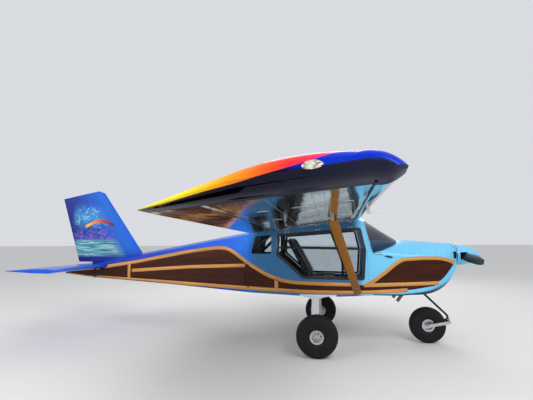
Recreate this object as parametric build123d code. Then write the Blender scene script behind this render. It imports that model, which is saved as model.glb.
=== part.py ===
from build123d import *
import math
import os

# Two-seat high-wing light aircraft on fixed nose-wheel gear, standing as it parks.
# Millimetres. +X is forward, +Y is to port, +Z is up, and the ground is Z = 0.
# X = 0 is about half way between the spinner's point and the rudder's top corner.

os.makedirs("parts", exist_ok=True)

# Wheels and stance
MAIN_TYRE_D = 559.0
MAIN_TYRE_W = 206.0
NOSE_TYRE_D = 528.0
NOSE_TYRE_W = 186.0
TYRE_WALL = 12.0
RIM_FLANGE_D = 183.0
RIM_SEAT_D = 152.0
TRACK = 2080.0
MAIN_AXLE_X = 1062.0
NOSE_AXLE_X = 2692.0
AXLE_D = 32.0
DISC_D = 156.0
DISC_T = 6.0
RUN_GAP = 0.05
SEAT_GAP = 0.3

# Cabin box
CABIN_HALF_W = 585.0
SIDE_T = 25.0
CABIN_AFT_X = 30.0
DOOR_POST_X = 1850.0
FIREWALL_X = 2250.0
FIREWALL_T = 8.0
FLOOR_T = 8.0
ROOF_T = 6.0
TAIL_SKIN = 1.5
COWL_T = 5.0
DECK_SIDE_Z = 1638.0
DECK_TOP_Z = 1703.0

# Doors, hung from the header under the wing root
DOOR_GAP = 6.0
DOOR_FRAME_W = 34.0
DOOR_RAIL_Z = 1426.0
DOOR_RAIL_H = 22.0
PANE_T = 4.0
HINGE_KNUCKLE_R = 6.0
HINGE_PIN_R = 3.0

# Wing
HALF_SPAN = 4500.0
CAP_W = 340.0
CAP_Y = HALF_SPAN - CAP_W
CHORD = 1529.0
LE_X = 1670.0
LE_Z = 1830.0
INCIDENCE = 7.0
DIHEDRAL = 1.1
WING_SKIN = 2.0
CAP_SKIN = 4.0
HINGE_FRACTION = 0.778
FLAP_END_Y = 2560.0
SURFACE_GAP = 8.0
SURFACE_SKIN = 1.0
BRACKET_T = 6.0
BRACKET_SLOT = 14.0
RIB_W = 26.0
SURFACE_PIN_R = 5.0
LENS_BACK = 483.0
LENS_IN = 64.0
LENS_Z = 83.0
LENS_HALF_L = 58.0
LENS_HALF_W = 22.0
LENS_T = 22.0
LENS_FILLET = 6.0

# Tail
STAB_LE_X = -2545.0
STAB_HINGE_X = -2960.0
STAB_TE_X = -3335.0
STAB_Z = 1128.0
STAB_HALF_SPAN = 1450.0
STAB_T = 60.0
ELEVATOR_IN_Y = 150.0
ELEVATOR_NOSE_R = 24.0
TORQUE_TUBE_R = 11.0
TAIL_GAP = 8.0
TAIL_PIN_R = 4.0
RUDDER_LOW_Z = 1192.0

# Lift struts and tie-down lugs
STRUT_CHORD = 108.0
STRUT_T = 40.0
STRUT_WALL = 3.0
STRUT_FOOT = (1640.0, 782.0)
STRUT_HEAD_Y = 2100.0
STRUT_HEAD_SHARE = 0.254
STRUT_PIN_R = 16.0
TIE_HOLE_D = 18.0
TIE_LUG_T = 8.0

# Engine and propeller
ENGINE_L = 500.0
ENGINE_W = 500.0
ENGINE_H = 330.0
ENGINE_X = 2650.0
ENGINE_Z = 1190.0
PROP_X = 3232.0
PROP_Z = 1315.0
PROP_D = 1800.0
PROP_PARK_ANGLE = 4.0
SPINNER_R = 153.0
SPINNER_T = 3.0
SPINNER_BASE_X = 3140.0
SPINNER_TIP_X = 3505.0
SHAFT_D = 90.0
EXHAUST_R = 24.0
EXHAUST_T = 2.5
EXHAUST_Y = 200.0

# Nose gear
CASTER_X = 2990.0
CASTER_Z = 325.0
CASTER_R = 16.0
LEG_SLOPE = 44.6
FORK_ARM_GAP = 12.0
FORK_ARM_T = 12.0
TOW_PIN_R = 10.0
TOW_PIN_L = 14.0

parts = {}


def keep(name, shape):
    """Note a finished node under its name."""
    parts[name] = shape


def to_port(shape):
    """Mirror image of a starboard (-Y) piece."""
    return mirror(shape, about=Plane.XZ)


def both_sides(name, shape):
    """Keep a starboard piece and its mirror image to port."""
    keep(name + "_right", shape)
    keep(name + "_left", to_port(shape))


def gather(shapes):
    """One compound of solids that don't touch."""
    solids = []
    for shape in shapes:
        solids += list(shape.solids())
    return Compound(children=solids)


def station(x):
    """Plane across the aircraft at one station, drawn in (Y, Z)."""
    return Plane(origin=(x, 0, 0), x_dir=(0, 1, 0), z_dir=(1, 0, 0))


def side_view(y):
    """Plane along the aircraft at one Y, drawn in (X, Z); it faces starboard."""
    return Plane(origin=(0, y, 0), x_dir=(1, 0, 0), z_dir=(0, -1, 0))


def along_y(face, y0, y1):
    """Run a side-view face from y0 to y1."""
    return extrude(side_view(y1) * face, amount=y1 - y0)


def outline_face(points, radius=0.0):
    """Closed outline through points, its corners rounded."""
    face = make_face(Polyline(*points, close=True))
    if radius:
        face = fillet(face.vertices(), radius)
    return face


def rod(a, b, radius):
    """Round bar between two points."""
    line = Vector(*b) - Vector(*a)
    return extrude(Plane(origin=a, z_dir=line) * Circle(radius), amount=line.length)


def block(x0, x1, y0, y1, z0, z1):
    """Box between two corners."""
    return Pos((x0 + x1) / 2, (y0 + y1) / 2, (z0 + z1) / 2) * Box(x1 - x0, y1 - y0, z1 - z0)


def line_x(z, low, top):
    """X, at one height, of the straight line through two (X, Z) points."""
    return low[0] + (top[0] - low[0]) * (z - low[1]) / (top[1] - low[1])


def body_section(x, half_w, z_low, z_side, z_top, r_low, r_top, inset=0.0):
    """Section of the body: flat floor, upright sides, arched top, round corners."""
    w = half_w - inset
    low = z_low + inset
    top = z_top - inset
    face = make_face([
        Line((-w, low), (w, low)),
        Line((w, low), (w, z_side)),
        ThreePointArc((w, z_side), (0, top), (-w, z_side)),
        Line((-w, z_side), (-w, low)),
    ])
    face = fillet(face.vertices().sort_by(Axis.Y)[:2], max(r_low - inset, 2.0))
    shoulders = [v for v in face.vertices() if abs(v.Y - z_side) < 0.01 and abs(abs(v.X) - w) < 0.01]
    face = fillet(shoulders, max(r_top - inset, 2.0))
    return station(x) * face


def body_loft(table, inset=0.0, ruled=True):
    """Solid through a table of body sections."""
    return loft([body_section(*row, inset=inset) for row in table], ruled=ruled)


def stretched(table, back=0.0, front=0.0):
    """The same table with its first and last stations moved outwards along X."""
    first = (table[0][0] + back,) + table[0][1:]
    last = (table[-1][0] + front,) + table[-1][1:]
    return [first] + table[1:-1] + [last]


# Body sections
# columns: station, half width, floor Z, side top Z, crown Z, floor radius, shoulder radius
TAIL_TABLE = [
    (CABIN_AFT_X, CABIN_HALF_W, 776, DECK_SIDE_Z, DECK_TOP_Z, 30, 20),
    (-1300, 381, 859, 1404, 1463, 30, 34),
    (-2540, 190, 922, 1192, 1236, 28, 34),
    (-2960, 126, 945, 1118, 1160, 24, 26),
    (-3393, 45, 985, 1025, 1040, 12, 10),
]
BOOT_TABLE = [
    (DOOR_POST_X, CABIN_HALF_W, 760, 1385, 1540, 30, 60),
    (FIREWALL_X, 548, 752, 1345, 1547, 50, 90),
]
COWL_TABLE = [
    (FIREWALL_X + FIREWALL_T, 547, 752, 1345, 1547, 50, 90),
    (2660, 500, 780, 1340, 1526, 110, 120),
    (2930, 392, 905, 1345, 1507, 150, 120),
    (3070, 262, 1060, 1370, 1496, 120, 90),
    (3118, 186, 1135, 1400, 1485, 90, 60),
]

tail_outer = body_loft(TAIL_TABLE)
tail_inner = body_loft(stretched(TAIL_TABLE, back=1.0, front=8.0), inset=TAIL_SKIN)
boot_outer = body_loft(BOOT_TABLE)
boot_inner = body_loft(stretched(BOOT_TABLE, back=-1.0, front=1.0), inset=COWL_T)
cowl_outer = body_loft(COWL_TABLE, ruled=False)
cowl_inner = body_loft(stretched(COWL_TABLE, back=-1.0, front=1.0), inset=COWL_T, ruled=False)

# Stabiliser and elevator, drawn in side view and run out along Y


def stab_profile(grow=0.0):
    """Stabiliser section: round nose, fullest behind it, cut ahead of the hinge."""
    t = STAB_T / 2 + grow
    nose = STAB_LE_X + grow
    cut = STAB_HINGE_X + ELEVATOR_NOSE_R * 0.6 - grow
    full = STAB_LE_X - 140
    return make_face([
        ThreePointArc((full, STAB_Z + t), (nose - 55, STAB_Z + t * 0.84), (nose - 12, STAB_Z + t * 0.45)),
        ThreePointArc((nose - 12, STAB_Z + t * 0.45), (nose, STAB_Z), (nose - 12, STAB_Z - t * 0.45)),
        ThreePointArc((nose - 12, STAB_Z - t * 0.45), (nose - 55, STAB_Z - t * 0.84), (full, STAB_Z - t)),
        Line((full, STAB_Z - t), (cut, STAB_Z - t * 0.9)),
        Line((cut, STAB_Z - t * 0.9), (cut, STAB_Z + t * 0.9)),
        Line((cut, STAB_Z + t * 0.9), (full, STAB_Z + t)),
    ])


stab_hinge = Pos(STAB_HINGE_X, 0, STAB_Z)
stab_cove = stab_hinge * Cylinder(ELEVATOR_NOSE_R + TAIL_GAP, 2 * STAB_HALF_SPAN + 10, rotation=(90, 0, 0))
stab_wall_x = STAB_HINGE_X + ELEVATOR_NOSE_R + TAIL_GAP + 6
stab_front = Pos(stab_wall_x + 400, STAB_Z) * Rectangle(800, 200)
stab_void = along_y(stab_profile(-SURFACE_SKIN) & stab_front, -STAB_HALF_SPAN + 4, STAB_HALF_SPAN - 4)
stabiliser = along_y(stab_profile(), -STAB_HALF_SPAN, STAB_HALF_SPAN) - stab_cove - stab_void
stab_slot = along_y(stab_profile(SEAT_GAP), -STAB_HALF_SPAN, STAB_HALF_SPAN)
keep("stabiliser", stabiliser)


def flat_surface_face(hinge_x, hinge_z, nose_r, te_x, te_z, edge=3.0, inset=0.0):
    """Moving surface in side view: round nose on its hinge, straight to a thin rear edge."""
    r = nose_r - inset
    e = max(edge - inset, 0.6)
    te = te_x + inset * 16
    return make_face([
        ThreePointArc((hinge_x, hinge_z + r), (hinge_x + r, hinge_z), (hinge_x, hinge_z - r)),
        Line((hinge_x, hinge_z - r), (te, te_z - e)),
        Line((te, te_z - e), (te, te_z + e)),
        Line((te, te_z + e), (hinge_x, hinge_z + r)),
    ])


def hinged_surface(face, void_face, s0, s1, spots, hinge, nose_r, pin_r):
    """Hollow moving surface with a slot, two ribs and a pin at each hinge spot."""
    body = along_y(face, s0, s1)
    edges = [s0 + 4]
    for spot in spots:
        edges += [spot - RIB_W / 2, spot + RIB_W / 2]
    edges += [s1 - 4]
    for a, b in zip(edges[0::2], edges[1::2]):
        body -= along_y(void_face, a, b)
    for spot in spots:
        slot = block(hinge[0] - nose_r * 0.5, hinge[0] + nose_r + 5, spot - BRACKET_SLOT / 2,
                     spot + BRACKET_SLOT / 2, hinge[1] - nose_r - 5, hinge[1] + nose_r + 5)
        body -= slot
        body += rod((hinge[0], spot - RIB_W / 2, hinge[1]), (hinge[0], spot + RIB_W / 2, hinge[1]), pin_r)
    return body


def hinge_bracket(hinge, reach, half_h, spot, pin_r, wall):
    """Plate from the fixed surface's rear wall to an eye round the hinge pin."""
    eye_r = pin_r + 7
    face = Pos(hinge[0] + reach / 2, hinge[1]) * Rectangle(reach, 2 * half_h)
    face += Pos(*hinge) * Circle(eye_r)
    face -= Pos(*hinge) * Circle(pin_r + RUN_GAP)
    return along_y(face, spot - BRACKET_T / 2, spot + BRACKET_T / 2) - wall


elevator_hinge = (STAB_HINGE_X, STAB_Z)
elevator_face = flat_surface_face(STAB_HINGE_X, STAB_Z, ELEVATOR_NOSE_R, STAB_TE_X, STAB_Z)
elevator_void = flat_surface_face(STAB_HINGE_X, STAB_Z, ELEVATOR_NOSE_R, STAB_TE_X, STAB_Z,
                                  inset=SURFACE_SKIN)
elevator_spots = [STAB_HALF_SPAN * share for share in (0.24, 0.82)]
elevator_half = hinged_surface(elevator_face, elevator_void, ELEVATOR_IN_Y, STAB_HALF_SPAN, elevator_spots,
                               elevator_hinge, ELEVATOR_NOSE_R, TAIL_PIN_R)
torque_tube = rod((STAB_HINGE_X, -ELEVATOR_IN_Y - 5, STAB_Z), (STAB_HINGE_X, ELEVATOR_IN_Y + 5, STAB_Z),
                  TORQUE_TUBE_R)
keep("elevator", elevator_half + to_port(elevator_half) + torque_tube)
stab_solid = along_y(stab_profile(), -STAB_HALF_SPAN, STAB_HALF_SPAN) - stab_cove
tail_brackets = []
for spot in elevator_spots:
    plate = hinge_bracket(elevator_hinge, ELEVATOR_NOSE_R + 20, 9, spot, TAIL_PIN_R, stab_solid)
    tail_brackets += [plate, to_port(plate)]

tube_hole = stab_hinge * Cylinder(ELEVATOR_NOSE_R + TAIL_GAP, 400, rotation=(90, 0, 0))
keep("tail_cone", tail_outer - tail_inner - stab_slot - tube_hole)

# Fin and rudder, in level sections; (X, Z) points of their straight edges
FIN_LE = ((-1952.0, 1326.0), (-2716.0, 2400.0))
FIN_HINGE = ((-2905.0, 1150.0), (-3299.0, 2400.0))
RUDDER_TE = ((-3168.0, 1183.0), (-3529.0, 2315.0))
FIN_TOP_FRONT = (-2826.0, 2447.0)
FIN_TOP_REAR = (-3529.0, 2318.0)
# columns: height, fin's half thickness, radius of the rudder's nose
FIN_TABLE = [(1060.0, 32.0, 24.0), (2470.0, 22.0, 17.0)]


def fin_section(z, half_t, nose_r, inset=0.0):
    """Fin section at one height: round nose, flat sides, cut ahead of the hinge."""
    le = line_x(z, *FIN_LE) - 1.5 * inset
    t = half_t - inset
    cut = line_x(z, *FIN_HINGE) + (nose_r + TAIL_GAP + 4 if inset else nose_r * 0.6)
    return Pos(0, 0, z) * make_face([
        ThreePointArc((le - 22, t * 0.55), (le, 0), (le - 22, -t * 0.55)),
        Line((le - 22, -t * 0.55), (le - 170, -t)),
        Line((le - 170, -t), (cut, -t * 0.9)),
        Line((cut, -t * 0.9), (cut, t * 0.9)),
        Line((cut, t * 0.9), (le - 170, t)),
        Line((le - 170, t), (le - 22, t * 0.55)),
    ])


def rudder_section(z, half_t, nose_r, inset=0.0):
    """Rudder section at one height: round nose on the hinge line, straight to its rear edge."""
    hinge = line_x(z, *FIN_HINGE)
    te = line_x(z, *RUDDER_TE) + 14 * inset
    r = nose_r - inset
    edge = max(3.0 - inset, 0.6)
    return Pos(0, 0, z) * make_face([
        ThreePointArc((hinge, r), (hinge + r, 0), (hinge, -r)),
        Line((hinge, -r), (te, -edge)),
        Line((te, -edge), (te, edge)),
        Line((te, edge), (hinge, r)),
    ])


def fin_outline(inset=0.0):
    """Side outline that trims fin and rudder: sloped top, round front corner."""
    face = outline_face([
        (-1700, 1000), (-1700, FIN_LE[1][1]), (FIN_LE[1][0], FIN_LE[1][1] + 4 - inset),
        (FIN_TOP_FRONT[0], FIN_TOP_FRONT[1] - inset), (FIN_TOP_REAR[0] - 80, FIN_TOP_REAR[1] - 15 - inset),
        (FIN_TOP_REAR[0] - 80, 1000)])
    return extrude(side_view(100) * face, amount=200)


fin_outer = loft([fin_section(*row) for row in FIN_TABLE], ruled=True) & fin_outline()
fin_inner = loft([fin_section(*row, inset=SURFACE_SKIN) for row in FIN_TABLE], ruled=True) & fin_outline(4)
cove_circles = [Pos(line_x(z, *FIN_HINGE), 0, z) * Circle(r + TAIL_GAP) for z, t, r in FIN_TABLE]
rudder_cove = loft(cove_circles, ruled=True)
fin = fin_outer - rudder_cove - fin_inner - tail_outer - stab_slot
keep("fin", fin.solids().sort_by(SortBy.VOLUME)[-1])

rudder = loft([rudder_section(*row) for row in FIN_TABLE], ruled=True) & fin_outline()
rudder -= block(-4000, -2000, -100, 100, 900, RUDDER_LOW_Z)
rudder_hollow = loft([rudder_section(*row, inset=SURFACE_SKIN) for row in FIN_TABLE], ruled=True)
rudder_void = rudder_hollow & fin_outline(4)
rudder_void -= block(-4000, -2000, -100, 100, 900, RUDDER_LOW_Z + 4)
rudder_lean = math.atan2(FIN_HINGE[0][0] - FIN_HINGE[1][0], FIN_HINGE[1][1] - FIN_HINGE[0][1])
rudder_spots = [1300.0, 1800.0, 2270.0]
for z in rudder_spots:
    place = Pos(line_x(z, *FIN_HINGE), 0, z) * Rot(0, -math.degrees(rudder_lean), 0)
    rudder_void -= place * Box(800, 100, RIB_W)
rudder -= rudder_void
for z in rudder_spots:
    place = Pos(line_x(z, *FIN_HINGE), 0, z) * Rot(0, -math.degrees(rudder_lean), 0)
    rudder -= place * Pos(20, 0, 0) * Box(64, 80, BRACKET_SLOT)
    rudder += place * Cylinder(TAIL_PIN_R, RIB_W)
    eye = Cylinder(TAIL_PIN_R + 6, BRACKET_T) + Pos(30, 0, 0) * Box(60, 12, BRACKET_T)
    plate = place * (eye - Cylinder(TAIL_PIN_R + RUN_GAP, 40))
    tail_brackets.append(plate - (fin_outer - rudder_cove))
keep("rudder", rudder)
keep("tail_hinges", gather(tail_brackets))

# Wing, drawn in its own frame: leading edge at X = 0, span along +Y, chord towards -X
# columns: share of chord behind the leading edge, share of chord above the chord line
AIRFOIL = {
    "nose": (0.0, 0.0),
    "upper_a": (0.035, 0.048),
    "upper_b": (0.150, 0.093),
    "upper_c": (0.360, 0.118),
    "upper_d": (0.580, 0.100),
    "upper_e": (0.800, 0.053),
    "tail_up": (1.0, 0.002),
    "tail_low": (1.0, -0.001),
    "lower_c": (0.60, -0.009),
    "lower_b": (0.110, -0.018),
    "lower_a": (0.020, -0.013),
}
# height of the upper side over each lower point
UPPER_OVER = {"tail_low": 0.002, "lower_c": 0.097, "lower_b": 0.079, "lower_a": 0.034}


def airfoil_face(chord=CHORD, height=1.0, lift=0.0):
    """Aerofoil of arcs and straights in (X, Z), its nose at the origin; lift draws the underside up."""
    p = {}
    for key, (a, b) in AIRFOIL.items():
        raised = b + lift * (UPPER_OVER.get(key, b) - b)
        p[key] = (-chord * a, chord * raised * height)
    return make_face([
        ThreePointArc(p["nose"], p["upper_a"], p["upper_b"]),
        ThreePointArc(p["upper_b"], p["upper_c"], p["upper_d"]),
        ThreePointArc(p["upper_d"], p["upper_e"], p["tail_up"]),
        Line(p["tail_up"], p["tail_low"]),
        Line(p["tail_low"], p["lower_c"]),
        Line(p["lower_c"], p["lower_b"]),
        ThreePointArc(p["lower_b"], p["lower_a"], p["nose"]),
    ])


hinge_x = -CHORD * HINGE_FRACTION
hinge_z = 0.0269 * CHORD
hinge_nose_r = 0.0323 * CHORD
cove_r = hinge_nose_r + SURFACE_GAP
wing_place = Pos(LE_X, CABIN_HALF_W, LE_Z) * Rot(DIHEDRAL, 0, 0) * Rot(0, -INCIDENCE, 0)


def span(y):
    """Distance along the wing from its root to one Y."""
    return (y - CABIN_HALF_W) / math.cos(math.radians(DIHEDRAL))


def wing_point(x, s, z):
    """Point of the wing's own frame, on the port wing."""
    return (wing_place * Pos(x, s, z)).position


def both_wings(name, shape):
    """Place a piece drawn in the wing's own frame on the port wing and mirror it."""
    placed = wing_place * shape
    keep(name + "_left", placed)
    keep(name + "_right", mirror(placed, about=Plane.XZ))


front_part = Pos(hinge_x + 0.72 * hinge_nose_r + 1000, 0) * Rectangle(2000, 800)
panel_face = (airfoil_face() & front_part) - Pos(hinge_x, hinge_z) * Circle(cove_r)
panel_outer = along_y(panel_face, -20, span(CAP_Y))
void_front = Pos(hinge_x + cove_r + 6 + 1000, 0) * Rectangle(2000, 800)
void_face = offset(airfoil_face(), amount=-WING_SKIN) & void_front
panel_void = along_y(void_face, 8, span(CAP_Y) - 4)
port_wing = wing_place * (panel_outer - panel_void) - block(-500, 3000, 0, CABIN_HALF_W, 1300, 2300)
keep("wing_left", port_wing)
keep("wing_right", mirror(port_wing, about=Plane.XZ))

wing_hinge = (hinge_x, hinge_z)
surface = flat_surface_face(hinge_x, hinge_z, hinge_nose_r, -CHORD, 0)
surface_void = flat_surface_face(hinge_x, hinge_z, hinge_nose_r, -CHORD, 0, inset=SURFACE_SKIN)
wing_brackets = []
# columns: name, inner end, outer end along the span
flap_ends = ("flap", 10.0, span(FLAP_END_Y) - 5)
aileron_ends = ("aileron", span(FLAP_END_Y) + 5, span(CAP_Y) - 8)
for name, s0, s1 in (flap_ends, aileron_ends):
    spots = [s0 + (s1 - s0) * share for share in (0.1, 0.5, 0.9)]
    both_wings(name, hinged_surface(surface, surface_void, s0, s1, spots, wing_hinge, hinge_nose_r,
                                    SURFACE_PIN_R))
    for spot in spots:
        wing_brackets.append(hinge_bracket(wing_hinge, cove_r + 15, 12, spot, SURFACE_PIN_R, panel_outer))

# Wing tips: sections that fan out from the trailing edge while their underside sweeps up
# columns: share of the cap's width at the nose and at the tail, height, lift of the underside, nose set back
TIP_TABLE = [
    (0.0, 0.0, 1.0, 0.0, 0.0),
    (0.45, 0.22, 0.96, 0.14, 3.0),
    (0.75, 0.34, 0.86, 0.38, 14.0),
    (0.93, 0.40, 0.74, 0.64, 38.0),
    (1.0, 0.42, 0.62, 0.86, 80.0),
]
cap_s = span(CAP_Y)
cap_run = span(HALF_SPAN) - cap_s
# how far the hollow draws in at its nose, tail, top and underside for each mm of wall
VOID_NOSE, VOID_TAIL, VOID_TOP, VOID_RISE = 2.5, 26.0, 0.011, 0.7


def tip_loft(rows, inset=0.0):
    """Loft through rows of the tip's table, drawn in by the inset for its hollow."""
    sections = []
    for nose_share, tail_share, height, lift, back in rows:
        nose_s = cap_s + nose_share * cap_run + (inset if nose_share == 0 else 0)
        out = (nose_share - tail_share) * cap_run
        chord = math.hypot(CHORD - back, out)
        ahead = Vector(CHORD - back, out, 0) / chord
        plane = Plane(origin=(-back, nose_s, 0), x_dir=ahead, z_dir=(ahead.Y, -ahead.X, 0))
        face = airfoil_face(chord - VOID_TAIL * inset, height * (1 - VOID_TOP * inset), lift)
        sections.append(plane * Pos(-VOID_NOSE * inset, VOID_RISE * inset) * face)
    return loft(sections)


both_wings("wing_tip", tip_loft(TIP_TABLE) - tip_loft(TIP_TABLE[:3], CAP_SKIN))

# Roof between the wing roots: a crowned skin from the windscreen to the tail cone
# columns: Y, (X, Z) of front edge, of crest, of rear edge
ROOF_TABLE = [
    (-CABIN_HALF_W, (1752, 1812), (1150, 1950), (CABIN_AFT_X, DECK_SIDE_Z + 2)),
    (0, (1796, 1868), (1150, 1985), (CABIN_AFT_X, DECK_TOP_Z + 2)),
    (CABIN_HALF_W, (1752, 1812), (1150, 1950), (CABIN_AFT_X, DECK_SIDE_Z + 2)),
]


def lowered(point, drop):
    """The same (X, Z) point, lower by the drop."""
    return (point[0], point[1] - drop)


def roof_strip(y, front, crest, rear):
    """Roof skin in side view at one Y."""
    return side_view(y) * make_face([
        ThreePointArc(front, crest, rear),
        Line(rear, lowered(rear, ROOF_T)),
        ThreePointArc(lowered(rear, ROOF_T), lowered(crest, ROOF_T), lowered(front, ROOF_T)),
        Line(lowered(front, ROOF_T), front),
    ])


roof = loft([roof_strip(*row) for row in ROOF_TABLE])

# Cabin sides: one plate a side with the door opening and the rear quarter window cut
FLOOR_LINE = [(CABIN_AFT_X, 776), (261, 766), (798, 740), (1388, 736), (DOOR_POST_X, 760)]


def floor_z(x):
    """Height of the floor's underside at one station."""
    for low, top in zip(FLOOR_LINE[:-1], FLOOR_LINE[1:]):
        if low[0] <= x <= top[0]:
            return low[1] + (top[1] - low[1]) * (x - low[0]) / (top[0] - low[0])


DOOR_OUTLINE = [(1735, 972), (1768, 1405), (1700, 1728), (478, 1640), (466, 1330), (850, 990)]
QUARTER_OUTLINE = [(140, 1608), (385, 1632), (385, 1350), (75, 1350)]
DOOR_CORNER_R = 40.0
roof_front, roof_crest, roof_rear = ROOF_TABLE[0][1:]
drop = ROOF_T + SEAT_GAP
side_edges = [Line(a, b) for a, b in zip(FLOOR_LINE[:-1], FLOOR_LINE[1:])]
side_edges += [
    Line(FLOOR_LINE[-1], (DOOR_POST_X, 1385)),
    Line((DOOR_POST_X, 1385), lowered(roof_front, drop)),
    ThreePointArc(lowered(roof_front, drop), lowered(roof_crest, drop), lowered(roof_rear, drop)),
    Line(lowered(roof_rear, drop), FLOOR_LINE[0]),
]
door_face = outline_face(DOOR_OUTLINE, DOOR_CORNER_R)
quarter_face = outline_face(QUARTER_OUTLINE, 25)
inner_y = CABIN_HALF_W - SIDE_T
side = along_y(make_face(side_edges), -CABIN_HALF_W, -inner_y)
side -= along_y(offset(door_face, amount=DOOR_GAP), -CABIN_HALF_W - 5, -inner_y + 5)
side -= along_y(quarter_face, -CABIN_HALF_W - 5, -inner_y + 5)
both_sides("cabin_side", side)
pane_y = -CABIN_HALF_W + SIDE_T / 2
quarter = along_y(quarter_face, pane_y - PANE_T / 2, pane_y + PANE_T / 2)
keep("quarter_windows", gather([quarter, to_port(quarter)]))

# Doors: rim, mid rail and handle, two panes, three hinges along the header
door_inner = offset(door_face, amount=-DOOR_FRAME_W)
rail_area = Pos(1100, DOOR_RAIL_Z) * Rotation(0, 0, -1.2) * Rectangle(1500, DOOR_RAIL_H)
door_rim = (door_face - door_inner) + (door_face & rail_area)
door_frame = along_y(door_rim, -CABIN_HALF_W, -inner_y)
handle_foot = block(1440, 1470, -CABIN_HALF_W - 12, -CABIN_HALF_W, DOOR_RAIL_Z - 16, DOOR_RAIL_Z + 2)
handle = block(1380, 1475, -CABIN_HALF_W - 24, -CABIN_HALF_W - 12, DOOR_RAIL_Z - 16, DOOR_RAIL_Z + 2)
door_frame += handle_foot + handle
door_top = (DOOR_OUTLINE[3], DOOR_OUTLINE[2])
door_slope = math.degrees(math.atan2(door_top[1][1] - door_top[0][1], door_top[1][0] - door_top[0][0]))
door_axis_y = CABIN_HALF_W + HINGE_KNUCKLE_R
door_axis_rise = 9.0
knuckle_l = 20.0
door_hinges = []
for share in (0.12, 0.5, 0.88):
    x = door_top[0][0] + share * (door_top[1][0] - door_top[0][0])
    z = door_top[0][1] + share * (door_top[1][1] - door_top[0][1]) + door_axis_rise
    place = Pos(x, -door_axis_y, z) * Rot(0, -door_slope, 0)
    leaf_y = HINGE_KNUCKLE_R - 1.5
    knuckle = Cylinder(HINGE_KNUCKLE_R, knuckle_l, rotation=(0, 90, 0))
    moving = knuckle + Pos(0, leaf_y, -17) * Box(knuckle_l, 3, 34)
    moving -= Cylinder(HINGE_PIN_R + RUN_GAP, 60, rotation=(0, 90, 0))
    door_frame += place * moving
    fixed = Cylinder(HINGE_PIN_R, 3 * knuckle_l + 2, rotation=(0, 90, 0))
    for end in (-1, 1):
        fixed += Pos(end * (knuckle_l + 0.5), 0, 0) * knuckle
        fixed += Pos(end * (knuckle_l + 0.5), leaf_y, 9) * Box(knuckle_l, 3, 18)
    door_hinges += [place * fixed, to_port(place * fixed)]
both_sides("door_frame", door_frame)
both_sides("door_glass", along_y(door_inner - rail_area, pane_y - PANE_T / 2, pane_y + PANE_T / 2))
keep("door_hinges", gather(door_hinges))

# Floor, baggage bulkhead, front body, firewall
floor_points = FLOOR_LINE + [(x, z + FLOOR_T) for x, z in reversed(FLOOR_LINE)]
keep("cabin_floor", along_y(outline_face(floor_points), -inner_y, inner_y))
bulkhead = body_section(CABIN_AFT_X, inner_y, 776 + FLOOR_T + 0.5, DECK_SIDE_Z - 14, DECK_TOP_Z - 12, 4, 4)
keep("baggage_bulkhead", extrude(bulkhead, amount=6))
keep("front_body", boot_outer - boot_inner)
keep("firewall", extrude(body_section(FIREWALL_X, *BOOT_TABLE[1][1:]), amount=FIREWALL_T))

# Windscreen: a bent sheet from the cowl top up to the roof's front edge


def crescent(side_x, front_x, half_w, side_z, front_z, thickness):
    """Curved strip in the sloping plane through its two ends and its middle."""
    run = front_x - side_x
    rise = front_z - side_z
    length = math.hypot(run, rise)
    plane = Plane(origin=(side_x, 0, side_z), x_dir=(0, 1, 0), z_dir=(-rise, 0, run))
    if plane.y_dir.X < 0:
        plane = Plane(origin=(side_x, 0, side_z), x_dir=(0, 1, 0), z_dir=(rise, 0, -run))
    return plane * make_face([
        ThreePointArc((-half_w, 0), (0, length), (half_w, 0)),
        Line((half_w, 0), (half_w - thickness, 0)),
        ThreePointArc((half_w - thickness, 0), (0, length - thickness), (-half_w + thickness, 0)),
        Line((-half_w + thickness, 0), (-half_w, 0)),
    ])


low_strip = crescent(DOOR_POST_X + 25, 2310, CABIN_HALF_W - 1, 1345, 1520, PANE_T)
top_strip = crescent(1758, 1802, CABIN_HALF_W - 1, 1795, 1852, PANE_T)
deck_table = [BOOT_TABLE[0], BOOT_TABLE[1], (FIREWALL_X + 90, 547, 752, 1346, 1551, 50, 90)]
windscreen = loft([low_strip, top_strip], ruled=True) - body_loft(deck_table, inset=-SEAT_GAP) - roof
keep("windscreen", windscreen.solids().sort_by(SortBy.VOLUME)[-1])
keep("roof", roof - side - to_port(side))

# Cowls, split on a level line, with two inlets, an outlet and a hole round the nose leg
leg_dir = (-math.cos(math.radians(LEG_SLOPE)), math.sin(math.radians(LEG_SLOPE)))
leg_knee_z = CASTER_Z + 80
leg_run = (CASTER_X - FIREWALL_X - FIREWALL_T) / -leg_dir[0]
leg_head = (FIREWALL_X + FIREWALL_T, leg_knee_z + leg_run * leg_dir[1])
cowl = cowl_outer - cowl_inner
for sign in (-1, 1):
    inlet = extrude(station(2900) * Pos(sign * 252, PROP_Z + 8) * RectangleRounded(96, 104, 30), amount=300)
    cowl -= inlet
cowl -= block(FIREWALL_X - 20, FIREWALL_X + 150, -300, 300, 700, 800)
cowl -= rod((leg_head[0], 0, leg_head[1]), (CASTER_X, 0, leg_knee_z), CASTER_R + 10)
cowl_split = block(2000, 3500, -900, 900, PROP_Z + 20, 2000)
keep("cowl_upper", (cowl & cowl_split).solids().sort_by(SortBy.VOLUME)[-1])
keep("cowl_lower", (cowl - cowl_split).solids().sort_by(SortBy.VOLUME)[-1])

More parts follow.
